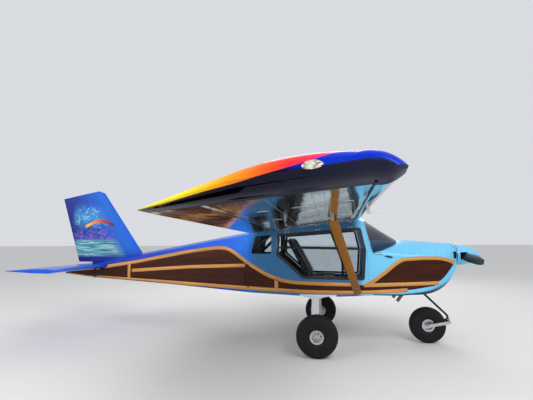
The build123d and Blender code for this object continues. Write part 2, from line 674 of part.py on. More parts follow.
# Engine block, its mount tubes, shaft and exhaust pipes
engine = Pos(ENGINE_X, 0, ENGINE_Z) * Box(ENGINE_L, ENGINE_W, ENGINE_H)
engine += rod((ENGINE_X, 0, PROP_Z), (SPINNER_BASE_X - 20, 0, PROP_Z), SHAFT_D / 2)
keep("engine", engine)
mount_tubes = []
pipes = []
for sign in (-1, 1):
    for z in (ENGINE_Z - 125, ENGINE_Z + 125):
        tube = rod((FIREWALL_X - 30, sign * 260, z), (ENGINE_X - ENGINE_L / 2 + 30, sign * 190, z), 12)
        mount_tubes.append(tube - engine - block(2000, FIREWALL_X + FIREWALL_T, -900, 900, 600, 1700))
    low = (2235, sign * EXHAUST_Y, 630)
    high = (2540, sign * EXHAUST_Y, 1045)
    pipes.append(rod(low, high, EXHAUST_R) - rod(low, high, EXHAUST_R - EXHAUST_T) - engine)
keep("engine_mount", gather(mount_tubes))
keep("exhaust_pipes", gather(pipes))

# Propeller and spinner
# columns: radius, chord, thickness, pitch angle
BLADE_TABLE = [(40, 66, 50, 44), (250, 128, 28, 34), (600, 128, 14, 20), (PROP_D / 2, 62, 5, 13)]
blade_sections = []
for r, chord, thick, pitch in BLADE_TABLE:
    oval = Ellipse(chord / 2, thick / 2)
    blade_sections.append(Pos(0, r, 0) * Rot(0, 90 - pitch, 0) * Rot(90, 0, 0) * oval)
blade = loft(blade_sections)
propeller = Cylinder(60, 92, rotation=(0, 90, 0)) + blade + Rot(180, 0, 0) * blade
propeller = Rot(PROP_PARK_ANGLE, 0, 0) * propeller
propeller += rod((SPINNER_BASE_X - 20 + SEAT_GAP - PROP_X, 0, 0), (-40, 0, 0), SHAFT_D / 2)
keep("propeller", Pos(PROP_X, 0, PROP_Z) * propeller)


def spinner_cone(inset=0.0):
    """Round-nosed cone of the spinner, drawn in by the inset, its base at X = 0."""
    length = SPINNER_TIP_X - SPINNER_BASE_X
    base = (0, SPINNER_R - inset)
    tip = (length - 2 * inset, 0)
    swell = (length * 0.5, SPINNER_R - inset)
    taper = (length * 0.88 - inset, SPINNER_R * 0.5 - inset)
    profile = make_face([Line((0, 0), base), Bezier(base, swell, taper, tip), Line(tip, (0, 0))])
    return revolve(profile, Axis.X)


spinner = spinner_cone() - spinner_cone(SPINNER_T)
spinner_back = Cylinder(SPINNER_R - 1, SPINNER_T, rotation=(0, 90, 0))
spinner_back -= Cylinder(SHAFT_D / 2 + 0.5, 3 * SPINNER_T, rotation=(0, 90, 0))
spinner += Pos(SPINNER_T / 2, 0, 0) * spinner_back
blade_slot = Pos(PROP_X - SPINNER_BASE_X, 0, 0) * Rot(PROP_PARK_ANGLE, 0, 0)
for sign in (-1, 1):
    spinner -= blade_slot * Pos(0, sign * 130, 0) * Box(106, 120, 112)
keep("spinner", Pos(SPINNER_BASE_X, 0, PROP_Z) * spinner)

# Wheels: revolved about the axle, drawn across it
across = Plane(origin=(0, 0, 0), x_dir=(0, 1, 0), z_dir=(1, 0, 0))


def tyre_section(outer_d, width, wall):
    """Half of the tyre's outline, less the wall: full round shoulders and a nearly flat tread."""
    r = outer_d / 2 - wall
    half_w = width / 2 - wall
    bead = RIM_SEAT_D / 2 + SEAT_GAP - 2 * wall
    bead_w = width * 0.36 - 0.8 - wall
    lip = RIM_FLANGE_D / 2 + 4
    shoulder = (half_w * 0.62, r - 14)
    belly = (half_w, (r + RIM_SEAT_D / 2) / 2 + 12)
    return make_face([
        Line((-bead_w, bead), (-bead_w - 3, lip)),
        ThreePointArc((-bead_w - 3, lip), (-belly[0], belly[1]), (-shoulder[0], shoulder[1])),
        ThreePointArc((-shoulder[0], shoulder[1]), (0, r), shoulder),
        ThreePointArc(shoulder, belly, (bead_w + 3, lip)),
        Line((bead_w + 3, lip), (bead_w, bead)),
        Line((bead_w, bead), (-bead_w, bead)),
    ])


def tyre(outer_d, width):
    """Hollow low-pressure tyre, open between its beads."""
    section = tyre_section(outer_d, width, 0.0) - tyre_section(outer_d, width, TYRE_WALL)
    return revolve(across * section, Axis.Y)


def hub_half_w(width):
    """Half the length of a wheel's hub."""
    return width * 0.306


def rim(width):
    """Wheel: flanges, drum, flat disc with six holes, and hub with its bearing bore."""
    seat = RIM_SEAT_D / 2
    flange = RIM_FLANGE_D / 2
    w = width * 0.36
    bore = AXLE_D / 2 + RUN_GAP
    hub = hub_half_w(width)
    section = outline_face([
        (-w - 12, flange), (-w - 6, flange), (-w - 0.5, seat),
        (w + 0.5, seat), (w + 6, flange), (w + 12, flange),
        (w + 8, seat - 8), (14, seat - 10), (14, bore + 16), (hub, bore + 14), (hub, bore),
        (-hub, bore), (-hub, bore + 14), (-14, bore + 16), (-14, seat - 10), (-w - 8, seat - 8)])
    body = revolve(across * section, Axis.Y)
    for i in range(6):
        a = math.radians(60 * i)
        body -= Pos(49 * math.cos(a), 0, 49 * math.sin(a)) * Cylinder(9, 40, rotation=(90, 0, 0))
    return body


main_z = MAIN_TYRE_D / 2
nose_z = NOSE_TYRE_D / 2
wheel_y = TRACK / 2
disc_y = wheel_y - MAIN_TYRE_W * 0.36 - 34
main_place = Pos(MAIN_AXLE_X, -wheel_y, main_z)
hat_face = (Circle(50) - Circle(AXLE_D / 2 + 8))
disc_face = (Circle(DISC_D / 2) - Circle(AXLE_D / 2 + 8))
hub_end_y = wheel_y - hub_half_w(MAIN_TYRE_W)
brake_disc = along_y(disc_face, disc_y - DISC_T / 2, disc_y + DISC_T / 2)
brake_disc += along_y(hat_face, disc_y, hub_end_y + 3)
brake_disc = Pos(MAIN_AXLE_X, 0, main_z) * to_port(brake_disc)
both_sides("main_tyre", main_place * tyre(MAIN_TYRE_D, MAIN_TYRE_W))
both_sides("main_wheel", main_place * rim(MAIN_TYRE_W) + brake_disc)
keep("nose_tyre", Pos(NOSE_AXLE_X, 0, nose_z) * tyre(NOSE_TYRE_D, NOSE_TYRE_W))
keep("nose_wheel", Pos(NOSE_AXLE_X, 0, nose_z) * rim(NOSE_TYRE_W))

# Main gear legs: bent spring plates with a fairing at the root and an axle at the foot
LEG_T = 20.0
FAIRING_T = 50.0
LEG_W = 104.0
leg_x = MAIN_AXLE_X - 32
leg_foot_y = -(wheel_y - MAIN_TYRE_W / 2 - 48)
leg_top_z = floor_z(leg_x + LEG_W / 2) - SEAT_GAP - LEG_T / 2
leg_line = FilletPolyline((-300, leg_top_z), (-548, leg_top_z), (leg_foot_y, main_z + 62),
                          (leg_foot_y, main_z - 40), radius=50)
leg_strip = make_face(offset(leg_line, amount=LEG_T / 2, side=Side.BOTH))
leg = extrude(station(leg_x - LEG_W / 2) * leg_strip, amount=LEG_W)
axle_end = -wheel_y - hub_half_w(MAIN_TYRE_W) - 1
leg += rod((MAIN_AXLE_X, leg_foot_y, main_z), (MAIN_AXLE_X, axle_end, main_z), AXLE_D / 2)
nut_y = wheel_y + hub_half_w(MAIN_TYRE_W) + 1
leg += rod((MAIN_AXLE_X, -nut_y, main_z), (MAIN_AXLE_X, -nut_y - 14, main_z), 21)
fairing = outline_face([
    (813, floor_z(813) - SEAT_GAP), (1231, floor_z(1231) - SEAT_GAP),
    (1120, 712), (1090, 694), (970, 694), (940, 712)])
leg += along_y(fairing, -CABIN_HALF_W, -CABIN_HALF_W + FAIRING_T)
both_sides("gear_leg", leg)
caliper = block(964, 1010, -disc_y - 14, leg_foot_y - LEG_T / 2, main_z - 28, main_z + 28)
caliper -= Pos(MAIN_AXLE_X, 0, main_z) * along_y(Circle(DISC_D / 2 + 5), -disc_y - 8, -disc_y + 8)
keep("brake_calipers", gather([caliper, to_port(caliper)]))

# Nose leg and the castering fork that trails behind its spindle
nose_line = FilletPolyline((leg_head[0] - 10, 0, leg_head[1] - 10 * leg_dir[1] / leg_dir[0]),
                           (CASTER_X, 0, leg_knee_z), (CASTER_X, 0, CASTER_Z - 40), radius=60)
nose_leg = sweep(Plane(origin=nose_line @ 0, z_dir=nose_line % 0) * Circle(CASTER_R), path=nose_line)
nose_leg += Pos(CASTER_X, 0, CASTER_Z + 39) * Cylinder(25, 10)
firewall_front = FIREWALL_X + FIREWALL_T
nose_leg += block(firewall_front, firewall_front + 8, -45, 45, leg_head[1] - 60, leg_head[1] + 60)
nose_leg -= block(2000, FIREWALL_X + FIREWALL_T, -100, 100, 900, 1400)
keep("nose_leg", nose_leg)
arm_y = NOSE_TYRE_W / 2 + FORK_ARM_GAP
fork_y = arm_y + FORK_ARM_T
caster_h = 66.0
fork = Pos(CASTER_X, 0, CASTER_Z) * Cylinder(30, caster_h)
fork += block(CASTER_X - 8, CASTER_X + 18, -fork_y, fork_y, CASTER_Z - 20, CASTER_Z + 20)
arm = outline_face([
    (CASTER_X + 18, CASTER_Z + 20), (CASTER_X + 18, CASTER_Z - 20), (NOSE_AXLE_X, nose_z - 24),
    (NOSE_AXLE_X - 24, nose_z), (NOSE_AXLE_X, nose_z + 24)])
fork += along_y(arm, arm_y, fork_y) + along_y(arm, -fork_y, -arm_y)
fork -= Pos(CASTER_X, 0, CASTER_Z) * Cylinder(CASTER_R + RUN_GAP, caster_h + 10)
fork += rod((NOSE_AXLE_X, -fork_y, nose_z), (NOSE_AXLE_X, fork_y, nose_z), AXLE_D / 2)
fork += rod((NOSE_AXLE_X, -fork_y - TOW_PIN_L, nose_z), (NOSE_AXLE_X, fork_y + TOW_PIN_L, nose_z), TOW_PIN_R)
keep("nose_fork", fork)

# Lift struts, their end fittings, tie-down lugs and the pitot mast
head = wing_point(-STRUT_HEAD_SHARE * CHORD, span(STRUT_HEAD_Y), -0.0155 * CHORD)
foot = Vector(STRUT_FOOT[0], CABIN_HALF_W, STRUT_FOOT[1])
strut_dir = Vector(*head) - foot
strut_a = foot + strut_dir * 0.022
strut_b = foot + strut_dir * 0.978
strut_chord_dir = Vector(1, 0, 0) - strut_dir * (strut_dir.X / strut_dir.length ** 2)
strut_plane = Plane(origin=strut_a, x_dir=strut_chord_dir, z_dir=strut_dir)
strut_l = (strut_b - strut_a).length
strut = extrude(strut_plane * Ellipse(STRUT_CHORD / 2, STRUT_T / 2), amount=strut_l)
strut_hollow = Ellipse(STRUT_CHORD / 2 - STRUT_WALL, STRUT_T / 2 - STRUT_WALL)
strut_void = extrude(strut_plane * strut_hollow, amount=strut_l - 12)
strut -= Pos(*(strut_dir.normalized() * 6)) * strut_void
keep("lift_strut_left", strut)
keep("lift_strut_right", mirror(strut, about=Plane.XZ))
wing_solid = wing_place * panel_outer
foot_pin = rod(tuple(foot - strut_dir * 0.03), tuple(strut_a), STRUT_PIN_R)
foot_pin -= block(1000, 2200, 0, CABIN_HALF_W, 500, 1200)
head_pin = rod(tuple(strut_b), tuple(Vector(*head) + strut_dir * 0.02), STRUT_PIN_R) - wing_solid
tie_x = -STRUT_HEAD_SHARE * CHORD
tie_z = -0.0155 * CHORD - 22
tie_s = span(STRUT_HEAD_Y) + 90
lug = Pos(tie_x, tie_z + 15) * Rectangle(44, 40) + Pos(tie_x, tie_z) * Circle(22)
lug -= Pos(tie_x, tie_z) * Circle(TIE_HOLE_D / 2)
wing_lug = along_y(lug, tie_s - TIE_LUG_T / 2, tie_s + TIE_LUG_T / 2) - panel_outer
tail_lug_x = -2870.0
tail_lug_z = 918.0
tail_lug = Pos(tail_lug_x, tail_lug_z + 15) * Rectangle(44, 40) + Pos(tail_lug_x, tail_lug_z) * Circle(22)
tail_lug -= Pos(tail_lug_x, tail_lug_z) * Circle(TIE_HOLE_D / 2)
tail_lug = along_y(tail_lug, -TIE_LUG_T / 2, TIE_LUG_T / 2) - tail_outer
fittings = [wing_place * wing_lug]
fittings += [wing_place * plate for plate in wing_brackets]
fittings += [foot_pin, head_pin]
fittings = [piece for shape in fittings for piece in (shape, to_port(shape))]
keep("wing_fittings", gather(fittings + [tail_lug]))
mast_s = span(2800)
mast = Pos(-70, -48) * Rectangle(26, 70)
mast = along_y(mast, mast_s - 5, mast_s + 5) - panel_outer
mast += Pos(-20, mast_s, -84) * Cylinder(6, 130, rotation=(0, 90, 0))
keep("pitot_mast", to_port(wing_place * mast))
antenna_face = outline_face([(-20, 20), (20, 20), (6, -75), (-10, -75)])
antennas = [along_y(Pos(x, 800) * antenna_face, -4, 4) - tail_outer for x in (-330, -95)]
keep("belly_antennas", gather(antennas))

# Position lights on the wing tips
lens_out = (0, 0.82, -0.57)
lens_base = Plane(origin=(-LENS_BACK, span(HALF_SPAN) - LENS_IN, LENS_Z), x_dir=(1, 0, 0), z_dir=lens_out)
lens = extrude(lens_base * Ellipse(LENS_HALF_L, LENS_HALF_W), amount=LENS_T)
lens = fillet(lens.edges().sort_by(Axis((0, 0, 0), lens_out))[-1], LENS_FILLET)
lens = (wing_place * lens - parts["wing_tip_left"]).solids().sort_by(SortBy.VOLUME)[-1]
keep("tip_lights", gather([lens, to_port(lens)]))

# Cabin fittings: seats, control sticks, instrument panel
SEAT_W = 2 * (CABIN_HALF_W - 350)
SEAT_Y = CABIN_HALF_W - 300
# (X, Z) outline of cushion, back and pedestal
SEAT_OUTLINE = [(905, 925), (1340, 952), (1345, 1002), (978, 985), (650, 1600), (590, 1580), (905, 962)]
PEDESTAL = (920, 1290, 340)
floor_top = 736 + FLOOR_T
sticks = []
for side_name, sign in (("right", -1), ("left", 1)):
    mid = sign * SEAT_Y
    seat = along_y(outline_face(SEAT_OUTLINE, 12), mid - SEAT_W / 2, mid + SEAT_W / 2)
    seat += block(PEDESTAL[0], PEDESTAL[1], mid - PEDESTAL[2] / 2, mid + PEDESTAL[2] / 2, floor_top - 10, 935)
    seat -= parts["cabin_floor"] + block(0, 2000, -600, 600, 600, 737)
    keep("seat_" + side_name, seat.solids().sort_by(SortBy.VOLUME)[-1])
    shank = rod((1440, mid, floor_top + 12), (1450, mid, 1180), 11)
    sticks.append(shank + rod((1450, mid, 1170), (1435, mid, 1275), 17))
stick_base = block(1410, 1470, -SEAT_Y - 25, SEAT_Y + 25, floor_top - 5, floor_top + 20)
stick_base = (stick_base - parts["cabin_floor"]).solids().sort_by(Axis.Z)[-1]
keep("control_sticks", stick_base + sticks[0] + sticks[1])
panel = block(DOOR_POST_X + 4, DOOR_POST_X + 10, -700, 700, 1190, 1700)
panel &= body_loft(stretched(BOOT_TABLE, back=-1.0, front=1.0), inset=COWL_T + SEAT_GAP)
for y, r in ((-380, 40), (-270, 40), (270, 40), (380, 40), (-60, 55), (90, 55)):
    panel += rod((DOOR_POST_X + 4, y, 1390), (DOOR_POST_X, y, 1390), r)
keep("instrument_panel", panel)

for name, shape in parts.items():
    export_step(shape, "parts/" + name + ".step")
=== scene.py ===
"""Finish of a two-seat high-wing light aircraft: paint, wood, polished metal, glass, tyres and cabin."""

import math

import bmesh
import bpy
import numpy as np
from mathutils import Matrix, Vector
from mathutils.bvhtree import BVHTree


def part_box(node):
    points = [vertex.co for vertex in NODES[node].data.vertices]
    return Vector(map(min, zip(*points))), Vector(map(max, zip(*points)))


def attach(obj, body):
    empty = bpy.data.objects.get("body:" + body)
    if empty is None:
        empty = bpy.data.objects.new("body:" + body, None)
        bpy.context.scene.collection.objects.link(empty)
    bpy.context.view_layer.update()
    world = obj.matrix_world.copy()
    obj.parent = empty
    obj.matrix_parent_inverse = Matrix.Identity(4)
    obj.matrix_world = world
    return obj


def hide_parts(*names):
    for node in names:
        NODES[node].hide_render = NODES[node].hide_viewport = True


bl_info = {
    "name": "Light aircraft finish",
    "version": (1, 0, 0),
    "blender": (4, 5, 0),
    "location": "View3D > Sidebar > Aircraft",
    "description": "Adds paint, wood trim, tyres, glass and cabin fittings to a two-seat light aircraft",
    "category": "Object",
}

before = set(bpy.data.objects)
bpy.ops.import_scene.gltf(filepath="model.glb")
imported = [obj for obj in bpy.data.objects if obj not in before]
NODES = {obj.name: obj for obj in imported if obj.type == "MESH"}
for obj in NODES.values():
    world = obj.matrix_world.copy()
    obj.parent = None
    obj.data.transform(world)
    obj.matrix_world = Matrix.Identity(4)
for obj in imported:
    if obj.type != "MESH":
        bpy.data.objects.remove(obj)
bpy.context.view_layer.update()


# Colours and shader graphs


def tint(red, green, blue):
    """Linear colour of an 8-bit one as it looks."""
    seen = np.array([red, green, blue]) / 255.0
    low = seen / 12.92
    high = ((seen + 0.055) / 1.055) ** 2.4
    return (*np.where(seen <= 0.04045, low, high).tolist(), 1.0)


SHADER_SOCKETS = {
    "color": "Base Color", "metal": "Metallic", "rough": "Roughness", "coat": "Coat Weight",
    "coat_rough": "Coat Roughness", "clear": "Transmission Weight", "ior": "IOR", "alpha": "Alpha",
    "sheen": "Sheen Weight", "specular": "Specular IOR Level",
}


class Finish:
    """One procedural material, built node by node round its shader."""

    def __init__(self, name, **sockets):
        self.material = bpy.data.materials.new(name)
        self.material.use_nodes = True
        self.tree = self.material.node_tree
        self.shader = self.tree.nodes["Principled BSDF"]
        for key, value in sockets.items():
            self.shader.inputs[SHADER_SOCKETS[key]].default_value = value

    def node(self, kind, inputs=(), **settings):
        """New node with its settings; inputs are (socket, number, colour or output)."""
        made = self.tree.nodes.new(kind)
        for key, value in settings.items():
            setattr(made, key, value)
        for socket, value in inputs:
            self.feed(made.inputs[socket], value)
        return made

    def feed(self, socket, value):
        """Link an output to a socket, or set the socket's own value."""
        if isinstance(value, bpy.types.NodeSocket):
            self.tree.links.new(value, socket)
        else:
            socket.default_value = value

    def give(self, key, value):
        """Feed one of the shader's own sockets."""
        self.feed(self.shader.inputs[SHADER_SOCKETS[key]], value)

    def place(self, scale=(1, 1, 1), turn=(0, 0, 0), shift=(0, 0, 0), uv=False):
        """Object coordinates, or the UV map's, scaled, turned and shifted."""
        source = self.node("ShaderNodeTexCoord").outputs["UV" if uv else "Object"]
        inputs = [("Vector", source), ("Scale", scale), ("Rotation", turn), ("Location", shift)]
        return self.node("ShaderNodeMapping", inputs).outputs["Vector"]

    def axis(self, letter):
        """One of the object's coordinates."""
        source = self.node("ShaderNodeTexCoord").outputs["Object"]
        return self.node("ShaderNodeSeparateXYZ", [("Vector", source)]).outputs[letter]

    def noise(self, vector, scale, detail=4.0, rough=0.55, warp=0.0):
        """Noise from 0 to 1."""
        inputs = [("Vector", vector), ("Scale", scale), ("Detail", detail), ("Roughness", rough),
                  ("Distortion", warp)]
        return self.node("ShaderNodeTexNoise", inputs).outputs["Fac"]

    def calc(self, operation, *values):
        """Math node."""
        return self.node("ShaderNodeMath", list(enumerate(values)), operation=operation).outputs[0]

    def both(self, *values):
        """Product of values: what every one of them lets through."""
        result = values[0]
        for value in values[1:]:
            result = self.calc("MULTIPLY", result, value)
        return result

    def near(self, value, middle, full, none):
        """1 within one distance of a middle value, 0 beyond another."""
        distance = self.calc("ABSOLUTE", self.calc("SUBTRACT", value, middle))
        return self.span(distance, full, none, 1.0, 0.0)

    def span(self, value, low, high, to_low=0.0, to_high=1.0):
        """Value carried from one range to another, held at its ends."""
        inputs = [("Value", value), ("From Min", low), ("From Max", high), ("To Min", to_low),
                  ("To Max", to_high)]
        return self.node("ShaderNodeMapRange", inputs, clamp=True).outputs["Result"]

    def mix(self, share, first, second):
        """Colour between two."""
        made = self.node("ShaderNodeMix", data_type="RGBA")
        for socket, value in ((0, share), (6, first), (7, second)):
            self.feed(made.inputs[socket], value)
        return made.outputs[2]

    def ramp(self, value, stops):
        """Colour along a list of (place, colour)."""
        made = self.node("ShaderNodeValToRGB", [("Fac", value)])
        keys = made.color_ramp.elements
        while len(keys) < len(stops):
            keys.new(0.5)
        for key, (where, color) in zip(keys, stops):
            key.position = where
            key.color = color
        return made.outputs["Color"]

    def bump(self, height, strength=0.3, depth=0.001):
        """Let a height roughen the surface's shading."""
        inputs = [("Height", height), ("Strength", strength), ("Distance", depth)]
        made = self.node("ShaderNodeBump", inputs)
        self.tree.links.new(made.outputs["Normal"], self.shader.inputs["Normal"])

    def peel(self, strength):
        """Orange peel of sprayed paint."""
        self.bump(self.noise(self.place(), PEEL_SCALE, detail=2), strength, 0.0004)

    def dots(self, along, spacing, across, rows, radius):
        """1 inside round dots that repeat along one coordinate at rows of another."""
        a = self.calc("PINGPONG", along, spacing / 2)
        b = self.calc("PINGPONG", across, rows / 2)
        squares = self.calc("ADD", self.calc("MULTIPLY", a, a), self.calc("MULTIPLY", b, b))
        return self.span(self.calc("SQRT", squares), radius * 0.7, radius, 1.0, 0.0)


PEEL_SCALE = 900
FLAKE_SCALE = 1400
SKY_BLUE = tint(112, 196, 236)
# Darker blue: painted shade that the wing casts on the cabin's sides
CABIN_SHADE_BLUE = tint(48, 106, 150)
ROYAL_BLUE = tint(8, 92, 214)
DEEP_BLUE = tint(6, 36, 150)
NAVY = tint(12, 18, 70)
MAPLE = tint(214, 162, 92)
MAHOGANY = tint(72, 28, 12)
LEG_GREY = tint(206, 208, 212)
# (X, colour) along the body, in metres; the darker blue from X 0.12 to 1.60 is painted shade of the wing on
# the cabin
BODY_STOPS = [(-3.0, DEEP_BLUE), (-1.4, tint(4, 62, 184)), (-0.3, ROYAL_BLUE), (0.05, tint(24, 112, 214)),
              (0.12, CABIN_SHADE_BLUE), (1.60, CABIN_SHADE_BLUE), (1.74, SKY_BLUE), (3.4, SKY_BLUE)]
BODY_ENDS = (-3.4, 3.6)
# The legs' root fairings, in metres
FAIRING_X = (0.80, 1.34)
FAIRING_Z = 0.762
FAIRING_EDGE = 0.01


def facing(m):
    """How far the surface looks up, from -1 to 1."""
    normal = m.node("ShaderNodeNewGeometry").outputs["Normal"]
    return m.node("ShaderNodeSeparateXYZ", [("Vector", normal)]).outputs["Z"]


def body_paint():
    """Paint from deep blue at the tail to sky blue at the nose, darker over the cabin as painted shade of the
    wing, navy on the belly, grey on the fairings.
    """
    m = Finish("body_paint", rough=0.32, specular=0.2, coat=0.1, coat_rough=0.1)
    x, z = m.axis("X"), m.axis("Z")
    back, front = BODY_ENDS
    base = m.ramp(m.span(x, back, front), [((at - back) / (front - back), color) for at, color in BODY_STOPS])
    cloud = m.noise(m.place(), 2.2, detail=3)
    base = m.mix(m.span(cloud, 0.35, 0.7, 0.0, 0.10), base, tint(14, 60, 130))
    belly = m.both(m.span(facing(m), -0.6, -0.3, 1.0, 0.0), m.span(z, 0.9, 1.1, 1.0, 0.0))
    base = m.mix(belly, base, NAVY)
    start, end = FAIRING_X
    fairing = m.both(m.span(x, start, start + FAIRING_EDGE), m.span(x, end - FAIRING_EDGE, end, 1.0, 0.0),
                     m.span(z, FAIRING_Z - 0.002, FAIRING_Z, 1.0, 0.0))
    m.give("color", m.mix(fairing, base, LEG_GREY))
    m.peel(0.04)
    return m.material


def gloss_paint(name, color, shade, rough=0.28):
    """Plain gloss paint with faint clouds and orange peel."""
    m = Finish(name, rough=rough, specular=0.2, coat=0.1, coat_rough=0.1)
    m.give("color", m.mix(m.span(m.noise(m.place(), 3.0), 0.35, 0.7, 0.0, 0.35), color, shade))
    m.peel(0.05)
    return m.material


# (X, Z) of the lower edge of the tip's colour band, in metres
BAND_EDGE = [(0.14, 1.712), (0.32, 1.750), (0.58, 1.811), (0.83, 1.864), (1.0, 1.902), (1.17, 1.943),
             (1.31, 1.985), (1.50, 2.06)]
# (X, colour) along the band
BAND_COLORS = [(0.14, tint(255, 236, 60)), (0.42, tint(255, 226, 40)), (0.72, tint(255, 150, 30)),
               (0.92, tint(246, 84, 32)), (1.06, tint(240, 44, 48)), (1.22, tint(238, 40, 90)),
               (1.34, tint(226, 70, 160)), (1.46, tint(150, 60, 190))]
TIP_LENGTH = 1.7
# Heights are carried through a colour ramp as shares of this rise above this floor
EDGE_FLOOR, EDGE_RISE = 1.6, 0.5


def tip_paint():
    """Metallic royal blue with painted light on top and near-black navy beneath as painted shade, with a band
    from yellow to pink along the outer edge.
    """
    m = Finish("tip_paint", rough=0.24, ior=1.25, specular=0.3)
    x, z = m.axis("X"), m.axis("Z")
    share = m.span(x, 0.0, TIP_LENGTH)
    stops = [(at / TIP_LENGTH, ((edge - EDGE_FLOOR) / EDGE_RISE,) * 3 + (1.0,)) for at, edge in BAND_EDGE]
    level = m.node("ShaderNodeSeparateColor", [("Color", m.ramp(share, stops))]).outputs["Red"]
    height = m.calc("SUBTRACT", m.calc("DIVIDE", m.calc("SUBTRACT", z, EDGE_FLOOR), EDGE_RISE), level)
    rim = m.span(m.calc("ABSOLUTE", m.axis("Y")), 4.215, 4.225)
    band = m.both(m.span(height, 0.0, 0.008), rim, m.span(x, 1.34, 1.5, 1.0, 0.0))
    flake = m.noise(m.place(), FLAKE_SCALE, detail=2)
    # Painted light and shade: lit blue above a line that falls towards the nose, near-black painted shade
    # below it and on faces that look down
    lit = m.mix(m.span(flake, 0.35, 0.7), tint(5, 30, 150), tint(12, 56, 205))
    dark = m.mix(m.span(x, 0.2, 1.5), tint(5, 5, 22), tint(6, 8, 46))
    level_up = m.calc("ADD", z, m.calc("MULTIPLY", facing(m), 0.05))
    nose = m.span(x, 1.0, 1.66, 1.915, 1.885)
    base = m.mix(m.span(m.calc("SUBTRACT", level_up, nose), -0.012, 0.02), dark, lit)
    m.give("color", m.mix(band, base, m.ramp(share, [(at / TIP_LENGTH, color) for at, color in BAND_COLORS])))
    m.bump(flake, 0.03, 0.0003)
    return m.material


def fin_paint():
    """Navy to azure with a painted spray, a warm ribbon over it and bands of teal and gold below."""
    m = Finish("fin_paint", rough=0.28, specular=0.15, coat=0.06, coat_rough=0.08)
    x, z = m.axis("X"), m.axis("Z")
    slant = m.calc("ADD", x, m.calc("MULTIPLY", z, 0.62))
    base = m.ramp(m.span(slant, -2.35, -1.0), [(0.0, tint(4, 12, 96)), (0.42, tint(4, 50, 152)),
                                               (0.75, tint(2, 96, 200)), (1.0, tint(0, 84, 200))])
    base = m.mix(m.span(z, 1.16, 1.42, 0.85, 0.0), base, tint(8, 20, 130))
    back = m.span(x, -3.34, -3.2)
    inside = m.both(back, m.span(slant, -1.42, -1.62))
    # Spray of foam with a glow behind it
    wisps = m.noise(m.place(scale=(1.0, 1.0, 1.6), turn=(0, 0.5, 0)), 11.0, detail=8, rough=0.7, warp=1.6)
    middle = m.calc("ADD", 1.93, m.calc("MULTIPLY", x, -0.02))
    glow = m.both(m.near(z, middle, 0.05, 0.22), m.span(x, -2.62, -2.9), back, 0.65)
    paint = m.mix(glow, base, tint(40, 150, 205))
    foam = m.both(m.span(wisps, 0.52, 0.62), m.near(z, middle, 0.12, 0.26), inside)
    paint = m.mix(foam, paint, tint(150, 205, 232))
    violet = m.both(m.near(z, 1.66, 0.04, 0.14), inside, m.span(wisps, 0.46, 0.56))
    paint = m.mix(violet, paint, tint(108, 96, 190))
    # Warm ribbon along a sine
    wave = m.calc("MULTIPLY", m.calc("SINE", m.calc("MULTIPLY", x, 8.5)), 0.055)
    ribbon = m.both(m.near(m.calc("SUBTRACT", z, 1.86), wave, 0.022, 0.032), m.span(x, -3.08, -3.02),
                    m.span(x, -2.48, -2.54))
    warm = m.ramp(m.span(x, -3.08, -2.5), [(0.0, tint(250, 214, 40)), (0.3, tint(240, 130, 20)),
                                           (0.6, tint(206, 40, 20)), (1.0, tint(40, 16, 40))])
    paint = m.mix(ribbon, paint, warm)
    # Bands below
    bands = m.noise(m.place(scale=(0.5, 1.0, 9.0)), 5.0, detail=6, rough=0.7, warp=0.4)
    low = m.both(m.span(z, 1.60, 1.55), m.span(z, 1.27, 1.32), inside, m.span(bands, 0.36, 0.44))
    stripes = m.ramp(bands, [(0.3, tint(176, 140, 60)), (0.42, tint(60, 110, 120)), (0.5, tint(30, 150, 160)),
                             (0.58, tint(170, 200, 206)), (0.7, tint(96, 60, 90))])
    m.give("color", m.mix(low, paint, stripes))
    m.peel(0.04)
    return m.material


def polished_skin():
    """Mirror-bright sheet that quilts a little between its rivet rows."""
    m = Finish("polished_skin", metal=1.0, rough=0.09)
    along = m.axis("X")
    across = m.axis("Y")
    rivets = m.dots(along, 0.034, across, 0.31, 0.0055)
    spars = m.dots(across, 0.034, along, 0.29, 0.0055)
    heads = m.calc("MAXIMUM", rivets, spars)
    cloud = m.noise(m.place(scale=(1.0, 0.5, 1.0)), 5.0, detail=5, warp=0.4)
    tone = m.mix(m.span(cloud, 0.3, 0.75), tint(214, 216, 220), tint(192, 191, 190))
    m.give("color", m.mix(heads, tone, tint(96, 92, 88)))
    m.give("rough", m.span(cloud, 0.3, 0.8, 0.05, 0.13))
    quilt = m.noise(m.place(scale=(1.0, 0.45, 1.0)), 7.0, detail=2)
    m.bump(m.calc("ADD", m.calc("MULTIPLY", quilt, 6.0), heads), 0.35, 0.0012)
    return m.material


def wood(name, light, dark, knotty=0.0):
    """Varnished wood with its grain along the UV map's U, in metres."""
    m = Finish(name, rough=0.4, specular=0.12, coat=0.06, coat_rough=0.12)
    grain = m.noise(m.place(scale=(1.6, 46.0, 1.0), uv=True), 1.0, detail=7, rough=0.62, warp=0.5)
    fine = m.noise(m.place(scale=(9.0, 420.0, 1.0), uv=True), 1.0, detail=3)
    figure = m.noise(m.place(scale=(0.9, 5.0, 1.0), uv=True), 1.0, detail=3, warp=1.4)
    color = m.mix(m.span(grain, 0.3, 0.7), light, dark)
    color = m.mix(m.span(figure, 0.62, 0.8, 0.0, 0.55), color, dark)
    cells = m.place(scale=(2.4, 9.0, 1.0), uv=True)
    knots = m.node("ShaderNodeTexVoronoi", [("Vector", cells), ("Scale", 1.0)])
    color = m.mix(m.span(knots.outputs["Distance"], 0.03, 0.10, knotty, 0.0), color, tint(96, 52, 20))
    m.give("color", color)
    m.bump(m.calc("ADD", m.calc("MULTIPLY", fine, 0.5), grain), 0.12, 0.0006)
    return m.material


